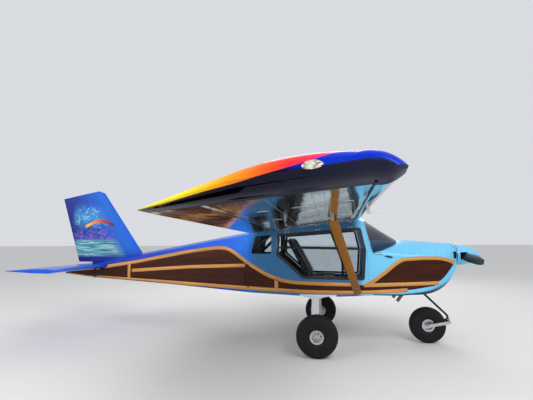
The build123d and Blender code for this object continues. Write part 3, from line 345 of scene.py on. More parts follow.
def rubber():
    """Black rubber, dusty in patches, with fine moulding grain."""
    m = Finish("tyre_rubber", rough=0.6, specular=0.25)
    dust = m.noise(m.place(), 9.0, detail=6, rough=0.7)
    m.give("color", m.mix(m.span(dust, 0.45, 0.75, 0.0, 0.5), tint(12, 12, 14), tint(44, 42, 40)))
    m.give("rough", m.span(dust, 0.3, 0.7, 0.6, 0.85))
    m.bump(m.noise(m.place(), 420, detail=3), 0.25, 0.0005)
    return m.material


def bright_metal(name, color, rough):
    """Machined or polished alloy with fine turning marks."""
    m = Finish(name, metal=1.0, rough=rough)
    marks = m.noise(m.place(scale=(1, 12, 1)), 60, detail=4)
    m.give("color", m.mix(m.span(marks, 0.35, 0.7), color, tint(150, 150, 152)))
    m.give("rough", m.span(marks, 0.3, 0.7, rough * 0.7, rough * 1.5))
    m.bump(marks, 0.06, 0.0004)
    return m.material


def dull_black(name="black_frame", color=tint(16, 16, 18), rough=0.45):
    """Satin black on tubes, blades and plastic, worn a little grey."""
    m = Finish(name, rough=rough)
    wear = m.noise(m.place(), 14.0, detail=6, rough=0.7)
    m.give("color", m.mix(m.span(wear, 0.55, 0.8, 0.0, 0.3), color, tint(52, 52, 54)))
    m.give("rough", m.span(wear, 0.3, 0.8, rough * 0.8, rough * 1.3))
    m.bump(m.noise(m.place(), 500, detail=2), 0.08, 0.0004)
    return m.material


def pane(name, color):
    """Clear or tinted acrylic with a little haze."""
    m = Finish(name, clear=1.0, ior=1.15)
    haze = m.noise(m.place(), 6.0, detail=5)
    m.give("color", m.mix(m.span(haze, 0.4, 0.75, 0.0, 0.12), color, tint(150, 156, 160)))
    m.give("rough", m.span(haze, 0.35, 0.75, 0.02, 0.07))
    return m.material


def lamp():
    """Clear-covered lamp: a faceted bright reflector with warm and dark patches."""
    m = Finish("lamp_lens", metal=0.9, rough=0.12, coat=0.6)
    cells = m.node("ShaderNodeTexVoronoi", [("Vector", m.place(scale=(1.0, 1.0, 1.8))), ("Scale", 60.0)])
    grey = m.node("ShaderNodeSeparateColor", [("Color", cells.outputs["Color"])]).outputs["Red"]
    stops = [(0.0, tint(120, 116, 100)), (0.35, tint(214, 206, 170)), (0.8, tint(250, 248, 240))]
    m.give("color", m.ramp(grey, stops))
    m.bump(grey, 0.8, 0.004)
    return m.material


# Angle of a thread's wave over a metre of the cover
THREADS = 2600.0


def cloth():
    """Woven seat cover: two crossed sine waves for its threads."""
    m = Finish("seat_cloth", rough=0.9, sheen=0.3)
    weave = m.calc("ADD", *[m.calc("SINE", m.calc("MULTIPLY", m.axis(letter), THREADS)) for letter in "YZ"])
    soft = m.noise(m.place(), 7.0, detail=4)
    m.give("color", m.mix(m.span(soft, 0.35, 0.7), tint(24, 24, 27), tint(44, 44, 48)))
    m.bump(weave, 0.2, 0.0004)
    return m.material


MAKERS = {
    "body": body_paint,
    "polished": polished_skin,
    "tip": tip_paint,
    "fin": fin_paint,
    "sky": lambda: gloss_paint("sky_paint", SKY_BLUE, tint(84, 172, 220)),
    "seam": lambda: dull_black("seam_shadow", tint(24, 40, 54), 0.7),
    "webbing": lambda: gloss_paint("webbing", tint(176, 178, 184), tint(140, 142, 150), 0.7),
    "tail": lambda: gloss_paint("tail_paint", tint(8, 86, 204), DEEP_BLUE),
    "maple": lambda: wood("maple", MAPLE, tint(168, 104, 44), 0.9),
    "mahogany": lambda: wood("mahogany", MAHOGANY, tint(30, 12, 7), 0.0),
    "strut": lambda: wood("strut_wood", tint(164, 108, 34), tint(122, 70, 18), 0.3),
    "rubber": rubber,
    "alloy": lambda: bright_metal("wheel_alloy", tint(214, 216, 220), 0.16),
    "steel": lambda: bright_metal("steel", tint(176, 178, 182), 0.3),
    "leg": lambda: gloss_paint("leg_grey", LEG_GREY, tint(176, 178, 182), 0.35),
    "black": dull_black,
    "glass": lambda: pane("door_acrylic", tint(226, 234, 238)),
    "dark_glass": lambda: pane("tinted_acrylic", tint(150, 152, 160)),
    "cloth": cloth,
    "cabin": lambda: dull_black("cabin_trim", tint(58, 60, 66), 0.6),
    "exhaust": lambda: bright_metal("exhaust_steel", tint(120, 96, 78), 0.42),
    "lens": lamp,
}
MADE = {}


def finish_for(key):
    """Material of one finish, made once."""
    if key not in MADE:
        MADE[key] = MAKERS[key]()
    return MADE[key]


NODE_FINISHES = {
    "body": ["cabin_side_left", "cabin_side_right", "cowl_lower", "cowl_upper", "front_body", "spinner",
             "tail_cone", "cabin_floor", "roof", "firewall"],
    "polished": ["wing_left", "wing_right", "flap_left", "flap_right", "aileron_left", "aileron_right"],
    "tip": ["wing_tip_left", "wing_tip_right"],
    "fin": ["fin", "rudder"],
    "tail": ["stabiliser", "elevator"],
    "strut": ["lift_strut_left", "lift_strut_right"],
    "rubber": ["main_tyre_left", "main_tyre_right", "nose_tyre"],
    "alloy": ["main_wheel_left", "main_wheel_right", "nose_wheel", "nose_fork"],
    "steel": ["brake_calipers", "door_hinges", "tail_hinges", "wing_fittings", "engine_mount"],
    "leg": ["gear_leg_left", "gear_leg_right", "pitot_mast"],
    "black": ["propeller", "nose_leg", "belly_antennas", "door_frame_left", "door_frame_right",
              "control_sticks"],
    "glass": ["door_glass_left", "door_glass_right", "quarter_windows"],
    "dark_glass": ["windscreen"],
    "cloth": ["seat_left", "seat_right"],
    "cabin": ["baggage_bulkhead", "instrument_panel", "engine"],
    "exhaust": ["exhaust_pipes"],
    "lens": ["tip_lights"],
}

# Surfaces
SIDES = (("left", 1), ("right", -1))
WELD_GAP = 1e-5


def centre_of(node):
    """Middle of a node's box."""
    low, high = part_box(node)
    return (low + high) / 2


def place_mesh(name, points, faces, finish, smooth=True):
    """Object from rows of points and of faces, in its finish."""
    mesh = bpy.data.meshes.new(name)
    mesh.from_pydata(points.reshape(-1, 3).tolist(), [], faces.tolist())
    mesh.polygons.foreach_set("use_smooth", [smooth] * len(mesh.polygons))
    mesh.materials.append(finish_for(finish))
    piece = bpy.data.objects.new(name, mesh)
    bpy.context.scene.collection.objects.link(piece)
    return piece


def surface(name, points, finish):
    """Open sheet of quads through an (n, m, 3) grid of points, with its lengths in metres as UV map."""
    n, m = points.shape[:2]
    i, j = np.meshgrid(np.arange(n - 1), np.arange(m - 1), indexing="ij")
    corners = [(i, j), (i + 1, j), (i + 1, j + 1), (i, j + 1)]
    faces = np.stack([a * m + b for a, b in corners], axis=-1).reshape(-1, 4)
    piece = place_mesh(name, points, faces, finish)
    steps = [np.linalg.norm(np.diff(points, axis=k), axis=2).mean(axis=1 - k) for k in (0, 1)]
    along, across = (np.concatenate([[0], np.cumsum(step)]) for step in steps)
    flat = np.stack([np.stack([along[a], across[b]], axis=-1) for a, b in corners], axis=2)
    piece.data.uv_layers.new(name="metres").data.foreach_set("uv", flat.astype(np.float32).ravel())
    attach(piece, "airframe")
    return piece


def tidy_mesh(piece):
    """Join doubled points and turn the faces outwards."""
    work = bmesh.new()
    work.from_mesh(piece.data)
    bmesh.ops.remove_doubles(work, verts=work.verts, dist=WELD_GAP)
    bmesh.ops.recalc_face_normals(work, faces=work.faces)
    work.to_mesh(piece.data)
    work.free()


def thicken(piece, thickness, offset=1.0):
    """Give a sheet its thickness, outwards by default."""
    solid = piece.modifiers.new("thickness", "SOLIDIFY")
    solid.thickness = thickness
    solid.offset = offset


def full_turn(count):
    """Even angles round a circle, one row each."""
    return np.linspace(0, 2 * np.pi, count, endpoint=False)[:, None]


def dome_rings(radius, height, around=8):
    """Rivet head: rings that shrink with the cosine while they rise with the sine."""
    turn = full_turn(around)
    climb = np.array([0.0, 0.5, 1.0]) * np.pi / 2
    ring = radius * np.cos(climb)[None, :]
    rise = np.broadcast_to(height * np.sin(climb), (around, 3))
    return np.stack([ring * np.cos(turn), ring * np.sin(turn), rise], axis=-1)


def lathe(profile, around=48):
    """Turned form about its own Z: (radius, height) rows swept round a full circle."""
    rows = np.array(profile, float)
    turn = full_turn(around)
    radius, rise = rows[None, :, 0], np.broadcast_to(rows[None, :, 1], (around, len(rows)))
    return np.stack([radius * np.cos(turn), radius * np.sin(turn), rise], axis=-1)


def hex_head(across, height):
    """Bolt head: a turned form of six flats with a small chamfer and a closed top."""
    corner = across / 1.732
    return lathe([(corner, 0.0), (corner, height * 0.8), (across * 0.5, height), (0.0, height)], 6)


def set_on(grid, places, ways):
    """Copies of a grid, each with its own Z turned to its way and its origin at its place."""
    ways = np.array(ways, float)
    ways /= np.linalg.norm(ways, axis=1)[:, None]
    side = np.where(np.abs(ways[:, :1]) < 0.9, [[1.0, 0.0, 0.0]], [[0.0, 1.0, 0.0]])
    first = np.cross(side, ways)
    first /= np.linalg.norm(first, axis=1)[:, None]
    frames = np.stack([first, np.cross(ways, first), ways], axis=1)
    return np.einsum("nmk,ckj->cnmj", grid, frames) + np.array(places, float)[:, None, None, :]


def mesh_piece(name, blocks, finish, body="airframe", smooth=True, wrap_u=True, wrap_v=False):
    """One object from stacks of grids of shape (copies, n, m, 3): quads between neighbours of each grid."""
    points, faces, count = [], [], 0
    for block in blocks:
        copies, n, m = block.shape[:3]
        i, j = np.meshgrid(np.arange(n - (not wrap_u)), np.arange(m - (not wrap_v)), indexing="ij")
        corners = [(i, j), (i + 1, j), (i + 1, j + 1), (i, j + 1)]
        quad = np.stack([a % n * m + b % m for a, b in corners], axis=-1)
        starts = count + np.arange(copies) * n * m
        faces.append((quad.reshape(1, -1, 4) + starts[:, None, None]).reshape(-1, 4))
        points.append(block.reshape(-1, 3))
        count += copies * n * m
    piece = place_mesh(name, np.concatenate(points), np.concatenate(faces), finish, smooth)
    tidy_mesh(piece)
    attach(piece, body)
    return piece


def tube_grid(path, radius, around=16):
    """Round tube along a path: circles in the planes across it, closed by points at both ends."""
    path = np.array(path, float)
    along = np.gradient(path, axis=0)
    along /= np.linalg.norm(along, axis=1)[:, None]
    side = np.array([0.0, 0.0, 1.0]) if abs(along[0, 2]) < 0.9 else np.array([1.0, 0.0, 0.0])
    first = np.cross(along, side)
    first /= np.linalg.norm(first, axis=1)[:, None]
    second = np.cross(along, first)
    turn = full_turn(around)[:, None]
    ring = radius * (np.cos(turn) * first + np.sin(turn) * second) + path
    ends = [np.repeat(path[k][None, None], around, axis=0) for k in (0, -1)]
    return np.concatenate([ends[0], ring, ends[1]], axis=1)[None]


def averaged(path, reach):
    """Path with each point moved to the mean of its neighbours within reach, its ends held by repeats."""
    kernel = np.ones(2 * reach + 1) / (2 * reach + 1)
    padded = np.concatenate([np.repeat(path[:1], reach, axis=0), path, np.repeat(path[-1:], reach, axis=0)])
    return np.stack([np.convolve(padded[:, k], kernel, mode="valid") for k in range(path.shape[1])], axis=1)


def resampled(points, count):
    """Evenly spaced points along straight lines between those given."""
    line = np.array(points, float)
    run = np.concatenate([[0], np.cumsum(np.linalg.norm(np.diff(line, axis=0), axis=1))])
    steps = np.linspace(0, run[-1], count)
    return np.stack([np.interp(steps, run, line[:, k]) for k in range(line.shape[1])], axis=1)


def curve(points, count=40):
    """Smooth path in space: straight lines between points with their corners averaged out."""
    return averaged(resampled(points, count * 3), count // 5)[::3]


def tree_of(names):
    """Search tree over some CAD skins."""
    points, faces = [], []
    for name in names:
        mesh = NODES[name].data
        start = len(points)
        points.extend(v.co.copy() for v in mesh.vertices)
        faces.extend([start + k for k in face.vertices] for face in mesh.polygons)
    return BVHTree.FromPolygons(points, faces)


def touch(tree, starts, way):
    """Points and outward normals where rays from the starts meet a skin."""
    found = [tree.ray_cast(Vector(start), Vector(way)) for start in starts]
    found = [(spot, out if out.dot(Vector(way)) < 0 else -out)
             for spot, out, _, _ in found if spot is not None]
    return tuple(np.array([hit[k] for hit in found]).reshape(-1, 3) for k in (0, 1))


def guide_mesh(names):
    """Copy of some CAD skins joined into one, to lay sheets on."""
    work = bmesh.new()
    for name in names:
        work.from_mesh(NODES[name].data)
    mesh = bpy.data.meshes.new("guide")
    work.to_mesh(mesh)
    work.free()
    guide = bpy.data.objects.new("guide", mesh)
    bpy.context.scene.collection.objects.link(guide)
    return guide


def points_of(mesh):
    """Coordinates of a mesh's vertices, one row each."""
    flat = np.zeros(len(mesh.vertices) * 3)
    mesh.vertices.foreach_get("co", flat)
    return flat.reshape(-1, 3)


def baked(piece):
    """New mesh of a piece with its modifiers worked in."""
    return bpy.data.meshes.new_from_object(piece.evaluated_get(bpy.context.evaluated_depsgraph_get()))


# Sheets start this far out to the side; what no ray carried inwards is still beyond the second
SHEET_Y = 0.75
MISSED_Y = 0.74


def lay_on_side(piece, guide, sign, lift):
    """Press a flat sheet sideways on to the guide, lift it off by a hair and drop what missed."""
    press = piece.modifiers.new("press", "SHRINKWRAP")
    press.target = guide
    press.wrap_method = "PROJECT"
    press.use_project_x = False
    press.use_project_y = True
    press.use_project_z = False
    press.use_negative_direction = sign > 0
    press.use_positive_direction = sign < 0
    place = points_of(baked(piece))
    piece.modifiers.remove(press)
    place[:, 1] += sign * lift
    piece.data.vertices.foreach_set("co", place.ravel())
    work = bmesh.new()
    work.from_mesh(piece.data)
    missed = [v for v in work.verts if abs(v.co.y) > MISSED_Y]
    bmesh.ops.delete(work, geom=missed, context="VERTS")
    work.to_mesh(piece.data)
    work.free()
    piece.data.update()


# Wood on the body's sides, all in (X, Z), in metres
# Each rail is a line along its middle; each panel has a lower and an upper edge
PANEL_LIFT, PANEL_T = 0.0008, 0.0012
# Rails that cross take turns at three lifts, so that no two faces lie in one
RAIL_LIFT, RAIL_LIFT_STEP, RAIL_T = 0.0016, 0.0004, 0.0022
TOP_RAIL = [(-2.76, 1.088), (-1.93, 1.209), (-0.99, 1.377), (-0.52, 1.437), (-0.36, 1.441), (-0.262, 1.414),
            (0.06, 1.188), (0.30, 1.045), (0.50, 0.965), (0.70, 0.930), (1.10, 0.915), (1.66, 0.905)]
LOW_RAIL = [(-2.77, 0.942), (-1.44, 0.896), (0.02, 0.842), (0.80, 0.800), (1.50, 0.795), (1.95, 0.812),
            (2.38, 0.842)]
MID_RAIL = [(-2.06, 1.060), (-0.98, 1.138), (0.03, 1.178)]
POSTS = [[(-2.07, 0.90), (-2.07, 1.19)], [(0.46, 0.82), (0.46, 0.975)]]
NOSE_TOP = [(1.75, 0.905), (1.85, 0.955), (2.03, 1.085), (2.20, 1.225), (2.30, 1.272), (2.55, 1.287),
            (2.80, 1.285), (2.94, 1.257), (3.055, 1.205)]
NOSE_LOW = [(1.70, 0.900), (2.34, 0.922), (2.80, 0.938)]
REAR_PANEL = {"x": (-2.79, 0.0), "low": [(-2.79, 0.945), (0.0, 0.843)], "top": TOP_RAIL}
SILL_PANEL = {"x": (0.0, 1.70), "low": LOW_RAIL, "top": TOP_RAIL}
NOSE_PANEL = {"x": (1.80, 3.045), "top": NOSE_TOP,
              "low": [(1.80, 0.902), (2.34, 0.922), (2.76, 0.942), (2.86, 1.01), (3.045, 1.21)]}
KEEL_PANEL = {"x": (1.70, 2.72), "low": [(1.70, 0.80), (2.38, 0.842), (2.72, 0.90)],
              "top": [(1.70, 0.90), (2.34, 0.922), (2.72, 0.935)]}


def smooth_line(points, count):
    """Evenly spaced points along a line whose corners are eased by averaging."""
    eased = averaged(resampled(points, 40 * len(points)), 10)
    pick = np.linspace(0, len(eased) - 1, count)
    return np.stack([np.interp(pick, np.arange(len(eased)), eased[:, k]) for k in (0, 1)], axis=1)


def strip_grid(points, width, sign, count=90, across=4):
    """Ribbon of constant width about a line in side view: the line plus v times its normal."""
    line = smooth_line(points, count)
    slope = np.gradient(line, axis=0)
    slope /= np.linalg.norm(slope, axis=1)[:, None]
    normal = np.stack([-slope[:, 1], slope[:, 0]], axis=1)
    v = np.linspace(-width / 2, width / 2, across)
    flat = line[:, None, :] + v[None, :, None] * normal[:, None, :]
    return np.stack([flat[..., 0], np.full(flat.shape[:2], sign * SHEET_Y), flat[..., 1]], axis=-1)


def panel_grid(panel, sign, count=70, across=10):
    """Sheet between a lower and an upper edge: Z runs straight from one to the other at each X."""
    x = np.linspace(*panel["x"], count)
    edges = [np.interp(x, *smooth_line(panel[key], 200).T) for key in ("low", "top")]
    v = np.linspace(0, 1, across)
    z = edges[0][:, None] * (1 - v) + edges[1][:, None] * v
    return np.stack([np.repeat(x[:, None], across, axis=1), np.full(z.shape, sign * SHEET_Y), z], axis=-1)


TAIL_END = {"x": (-3.35, -2.77), "low": [(-3.35, 0.985), (-2.77, 0.93)],
            "top": [(-3.35, 1.045), (-2.77, 1.09)]}
TAIL_RAILS = [[(-3.36, 1.035), (-2.76, 1.075)], [(-3.36, 0.990), (-2.76, 0.944)]]
THIN_STRIP_W = 0.016


def wood_trim(strip_width):
    """Mahogany panels and the maple rails round them: flat sheets pressed on to both sides of the body."""
    guide = guide_mesh(["tail_cone", "cabin_side_left", "cabin_side_right", "front_body", "cowl_lower",
                        "cowl_upper", "firewall"])
    panels = [("tail_end", TAIL_END), ("rear", REAR_PANEL), ("sill", SILL_PANEL), ("nose", NOSE_PANEL),
              ("keel", KEEL_PANEL)]
    rails = [("top", TOP_RAIL), ("low", LOW_RAIL), ("mid", MID_RAIL), ("nose_top", NOSE_TOP),
             ("nose_low", NOSE_LOW)]
    rails += [("post_" + str(k), post) for k, post in enumerate(POSTS)]
    rails = [(name, rail, strip_width) for name, rail in rails]
    rails += [("thin_" + str(k), rail, THIN_STRIP_W) for k, rail in enumerate(TAIL_RAILS)]
    for side, sign in reversed(SIDES):
        for name, panel in panels:
            piece = surface("panel_" + name + "_" + side, panel_grid(panel, sign), "mahogany")
            lay_on_side(piece, guide, sign, PANEL_LIFT)
            thicken(piece, -PANEL_T)
        for k, (name, rail, width) in enumerate(rails):
            piece = surface("rail_" + name + "_" + side, strip_grid(rail, width, sign), "maple")
            lay_on_side(piece, guide, sign, RAIL_LIFT + RAIL_LIFT_STEP * (k % 3))
            thicken(piece, -RAIL_T)
    bpy.data.objects.remove(guide)


# Tyres and wheels
RIM_R = 0.076
# (share of the half width, share of the height above the rim) down one sidewall
SIDEWALL = [(0.60, 0.0), (0.74, 0.03), (0.88, 0.15), (0.955, 0.29), (0.975, 0.30), (0.985, 0.34),
            (0.995, 0.44), (1.0, 0.54), (0.99, 0.64), (0.975, 0.665), (0.975, 0.69), (0.955, 0.72),
            (0.90, 0.82), (0.83, 0.89), (0.74, 0.935)]
TREAD_HALF = 0.70
CROWN_DROP = 0.05
GROOVE_DEPTH = 0.028
GROOVE_HALF = 0.03
TYRE_STEPS = 160
RAY_BACK = 0.3


def tyre_section(grooves):
    """Closed section: both sidewalls, a crowned tread with round-edged grooves, and the flat inside."""
    wall = np.array(SIDEWALL)
    steps = np.linspace(0, len(wall) - 1, 34)
    wall = np.stack([np.interp(steps, np.arange(len(wall)), wall[:, k]) for k in (0, 1)], axis=1)
    across = np.linspace(TREAD_HALF, -TREAD_HALF, 71)
    crown = 1 - CROWN_DROP * (across / TREAD_HALF) ** 2
    places = np.linspace(-0.48, 0.48, grooves)
    gap = np.abs(across[:, None] - places[None, :]).min(axis=1)
    crown -= GROOVE_DEPTH / (1 + (gap / GROOVE_HALF) ** 8)
    tread = np.stack([across, crown], axis=1)
    other = wall[::-1] * [-1, 1]
    inside = np.stack([np.linspace(-0.5, 0.5, 8), np.full(8, 0.004)], axis=1)
    return np.concatenate([wall, tread, other, inside])


def tyre(node, body, grooves):
    """Tyre swept round its axle: the section's shares times the node's own radius and half width."""
    low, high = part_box(node)
    centre = centre_of(node)
    radius, half = (high.z - low.z) / 2, (high.y - low.y) / 2
    section = tyre_section(grooves)
    turn = full_turn(TYRE_STEPS)
    r = RIM_R + section[None, :, 1] * (radius - RIM_R)
    y = np.broadcast_to(centre.y + section[None, :, 0] * half, (TYRE_STEPS, len(section)))
    grid = np.stack([centre.x + r * np.cos(turn), y, centre.z + r * np.sin(turn)], axis=-1)
    piece = mesh_piece("tread_" + node, [grid[None]], "rubber", body, wrap_v=True)
    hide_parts(node)


WHEELS = [("main_wheel_left", "main_tyre_left", (1,)), ("main_wheel_right", "main_tyre_right", (-1,)),
          ("nose_wheel", "nose_tyre", (1, -1))]
BOLT_CIRCLE_R = 0.060
VALVE_X = 0.058
WASHER = [(0.0085, -0.001), (0.0085, 0.0012), (0.0, 0.0012)]
VALVE = [(0.004, -0.002), (0.004, 0.014), (0.0055, 0.015), (0.0055, 0.024), (0.004, 0.026), (0.0, 0.026)]


def wheel_details(node, tyre_node, sides):
    """Through bolts with washers and a valve on the wheel's faces, each where a ray along the axle lands."""
    tree = tree_of([node])
    centre = centre_of(tyre_node)
    turn = np.radians(np.arange(6) * 60 + 30)
    bolts, washers, valves = [], [], []
    for side in sides:
        starts = np.stack([centre.x + BOLT_CIRCLE_R * np.cos(turn), np.full(6, centre.y + side * RAY_BACK),
                           centre.z + BOLT_CIRCLE_R * np.sin(turn)], axis=1)
        places, _ = touch(tree, starts.tolist(), (0, -side, 0))
        ways = np.tile([0.0, float(side), 0.0], (len(places), 1))
        washers.append(set_on(lathe(WASHER, 20), places, ways))
        bolts.append(set_on(hex_head(0.011, 0.0055), places + ways * 0.001, ways))
        spot, _ = touch(tree, [(centre.x + VALVE_X, centre.y + side * RAY_BACK, centre.z)], (0, -side, 0))
        valves.append(set_on(lathe(VALVE, 14), spot, np.tile([0.0, float(side), 0.0], (len(spot), 1))))
    mesh_piece("bolts_" + node, bolts, "steel", node, smooth=False)
    mesh_piece("washers_" + node, washers, "alloy", node)
    mesh_piece("valve_" + node, valves, "black", node)


HOSE_CLIP = [(0.009, -0.001), (0.009, 0.009), (0.006, 0.011), (0.0, 0.011)]
HOSE_R = 0.004


def gear_details():
    """Axle nuts, and brake hoses down the back of the main legs: tubes along points found on the skin."""
    nuts, hoses, clips = [], [], []
    axle = centre_of("main_tyre_left")
    for side, sign in SIDES:
        node = "gear_leg_" + side
        low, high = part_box(node)
        end = high.y if sign > 0 else low.y
        nuts.append(set_on(hex_head(0.034, 0.010), [(axle.x, end, axle.z)], [(0.0, sign, 0.0)]))
        starts = [(0.7, sign * (0.60 + 0.30 * k), 0.70 - 0.42 * k) for k in np.linspace(0.0, 1.0, 60)]
        places, ways = touch(tree_of([node]), starts, (1, 0, 0))
        hoses.append(tube_grid(curve(places + ways * (HOSE_R + 0.002), 40), HOSE_R, 10))
        clips.append(set_on(lathe(HOSE_CLIP, 12), places[6::14], ways[6::14]))
    mesh_piece("axle_nuts", nuts, "steel", smooth=False)
    mesh_piece("brake_hoses", hoses, "black")
    mesh_piece("hose_clips", clips, "steel")


# Rivets and fasteners
RIVET_RISE = 0.35
CHORD = 1.529
WING_LE_X = 1.67
SPAR_SHARES = (0.09, 0.26, 0.285, 0.52, 0.72)
RIB_STEP = 0.42
# Rows along the spars and along the ribs, and where their rays start below and above the wing
SPAR_ROW_Y = (0.62, 4.13)
RIB_ROWS_Y = (0.72, 4.1)
UNDER_Z, OVER_Z = 1.2, 2.6


def rows_between(first, last, spacing):
    """Evenly spaced points between two ends, near the spacing asked for."""
    first, last = np.array(first, float), np.array(last, float)
    count = max(2, int(round(np.linalg.norm(last - first) / spacing)) + 1)
    return first + np.linspace(0, 1, count)[:, None] * (last - first)


def rivets(name, nodes, lines, way, finish, radius, spacing):
    """Domed heads where rays from points along the lines meet the skin."""
    starts = np.concatenate([rows_between(a, b, spacing) for a, b in lines])
    places, ways = touch(tree_of(nodes), starts.tolist(), way)
    mesh_piece(name, [set_on(dome_rings(radius, RIVET_RISE * radius), places, ways)], finish)


def wing_rivets(radius):
    """Spar rows and rib rows under and over both wings."""
    for side, sign in SIDES:
        for level, z, way in (("under", UNDER_Z, (0, 0, 1)), ("over", OVER_Z, (0, 0, -1))):
            spars = [WING_LE_X - CHORD * share for share in SPAR_SHARES]
            lines = [[(x, sign * y, z) for y in SPAR_ROW_Y] for x in spars]
            lines += [((WING_LE_X - 0.06, sign * y, z), (WING_LE_X - 0.71 * CHORD, sign * y, z))
                      for y in np.arange(*RIB_ROWS_Y, RIB_STEP)]
            rivets("rivets_" + level + "_" + side, ["wing_" + side], lines, way, "steel", radius, 0.05)


# Rows on the body's sides: name, nodes, Y that the rays start from, ends of each row in (X, Z), finish,
# radius of the heads where it isn't the settings' own, and spacing
SIDE_ROWS = [
    ("rivets_deck_", ["tail_cone"], 0.9, [((-3.2, 1.15), (0.0, 1.60)), ((-2.6, 1.17), (0.0, 1.53))],
     "tail", None, 0.04),
    ("studs_screen_", ["windscreen"], 0.8, [((1.84, 1.80), (2.14, 1.605))], "leg", 0.008, 0.026),
    ("fasteners_post_", None, 0.8, [((1.735, 1.80), (1.82, 1.42)), ((1.79, 1.36), (1.79, 0.99))],
     "seam", 0.006, 0.045),
    ("fasteners_cowl_", ["cowl_upper", "cowl_lower"], 0.8,
     [((2.30, 1.352), (3.08, 1.352)), ((2.275, 1.36), (2.275, 0.98)), ((3.04, 1.47), (3.095, 1.39))],
     "seam", 0.006, 0.075),
]


def body_rivets(radius):
    """Rows on the tail cone, the windscreen's edge, the door posts and the cowl."""
    for side, sign in SIDES:
        for name, nodes, out, rows, finish, head, spacing in SIDE_ROWS:
            lines = [[(x, sign * out, z) for x, z in row] for row in rows]
            rivets(name + side, nodes or ["cabin_side_" + side], lines, (0, -sign, 0), finish, head or radius,
                   spacing)
    seams = [((2.10, y, 2.0), (3.05, end, 2.0)) for y, end in ((-0.30, -0.22), (0.30, 0.22))]
    rivets("fasteners_cowl_top", ["cowl_upper", "front_body"], seams, (0, 0, -1), "seam", 0.005, 0.12)


# Cowl
# (X, Z) lines of panel seams in side view
SEAMS = {
    "front": [(3.094, 1.18), (3.113, 1.36)],
    "ring": [(3.035, 1.48), (3.07, 1.44), (3.094, 1.39)],
    "door_low": [(1.88, 1.345), (2.02, 1.335)],
    "door_high": [(1.87, 1.372), (2.00, 1.365)],
}
SEAM_W = 0.007
SEAM_LIFT = 0.0005
SCOOP = ((2.026, 1.317), (2.141, 1.299))
SCOOP_W = 0.030
SCOOP_RISE = 0.016
# (X, Y) of the oil door's middle and its half sizes
OIL_DOOR = (2.62, 0.16)
OIL_DOOR_HALF = (0.07, 0.055)
OIL_DOOR_LIFT, OIL_DOOR_T = 0.0006, 0.0018


def scoop_grid(tree, sign):
    """Blister: a sine across times the root of a sine along, on the skin at its middle."""
    u, v = np.linspace(0, 1, 32)[:, None], np.linspace(0, 1, 14)[None, :]
    (x0, z0), (x1, z1) = SCOOP
    width = SCOOP_W * np.sin(np.pi * (0.08 + 0.84 * u)) ** 0.6
    x = x0 + (x1 - x0) * u + 0 * v
    z = z0 + (z1 - z0) * u + width * (v - 0.5)
    lift = SCOOP_RISE * np.sin(np.pi * v) * np.sin(np.pi * u ** 0.7) ** 0.5
    spot, _ = touch(tree, [((x0 + x1) / 2, sign * 0.9, (z0 + z1) / 2)], (0, -sign, 0))
    return np.stack([x, sign * (abs(spot[0][1]) - 0.001 + lift), z], axis=-1)[None]


def cowl_details():
    """Panel seams, side scoops, a ring behind the spinner and an oil door laid on the cowl's top."""
    skins = ["cowl_upper", "cowl_lower", "front_body", "firewall"]
    guide = guide_mesh(skins)
    for side, sign in reversed(SIDES):
        for name, line in SEAMS.items():
            piece = surface("seam_" + name + "_" + side, strip_grid(line, SEAM_W, sign, 40, 3), "seam")
            lay_on_side(piece, guide, sign, SEAM_LIFT)
    bpy.data.objects.remove(guide)
    tree = tree_of(skins)
    scoops = mesh_piece("side_scoops", [scoop_grid(tree, sign) for sign in (-1, 1)], "seam", wrap_u=False)
    thicken(scoops, 0.001)
    low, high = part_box("spinner")
    centre = centre_of("spinner")
    radius = (high.y - low.y) / 2
    profile = [(radius - 0.02, 0.0), (radius - 0.002, 0.0), (radius, 0.002), (radius, 0.006),
               (radius - 0.004, 0.007)]
    ring = set_on(lathe(profile, 96), [(low.x - 0.0005, centre.y, centre.z)], [(1.0, 0.0, 0.0)])
    mesh_piece("spinner_ring", [ring], "alloy", "propeller")
    p, q = np.meshgrid(np.linspace(-1, 1, 24), np.linspace(-1, 1, 24), indexing="ij")
    starts = np.stack([OIL_DOOR[0] + OIL_DOOR_HALF[0] * p * (1 - 0.08 * q ** 2),
                       OIL_DOOR[1] + OIL_DOOR_HALF[1] * q * (1 - 0.08 * p ** 2),
                       np.full(p.shape, 2.0)], axis=-1)
    spots, ways = touch(tree, starts.reshape(-1, 3).tolist(), (0, 0, -1))
    door = (spots + ways * OIL_DOOR_LIFT).reshape(1, *p.shape, 3)
    thicken(mesh_piece("oil_door", [door], "sky", wrap_u=False), OIL_DOOR_T)


# Cabin
SEAT_Y = 0.285
SEAT_FLOOR_Z = 0.765
# Cloth simulation of the cushions
SHRUNK = 0.86
CLOTH_VOXEL = 0.006
CLOTH_PRESSURE = 4.0
CLOTH_FRAMES = 20
CLOTH_REACH = 0.008


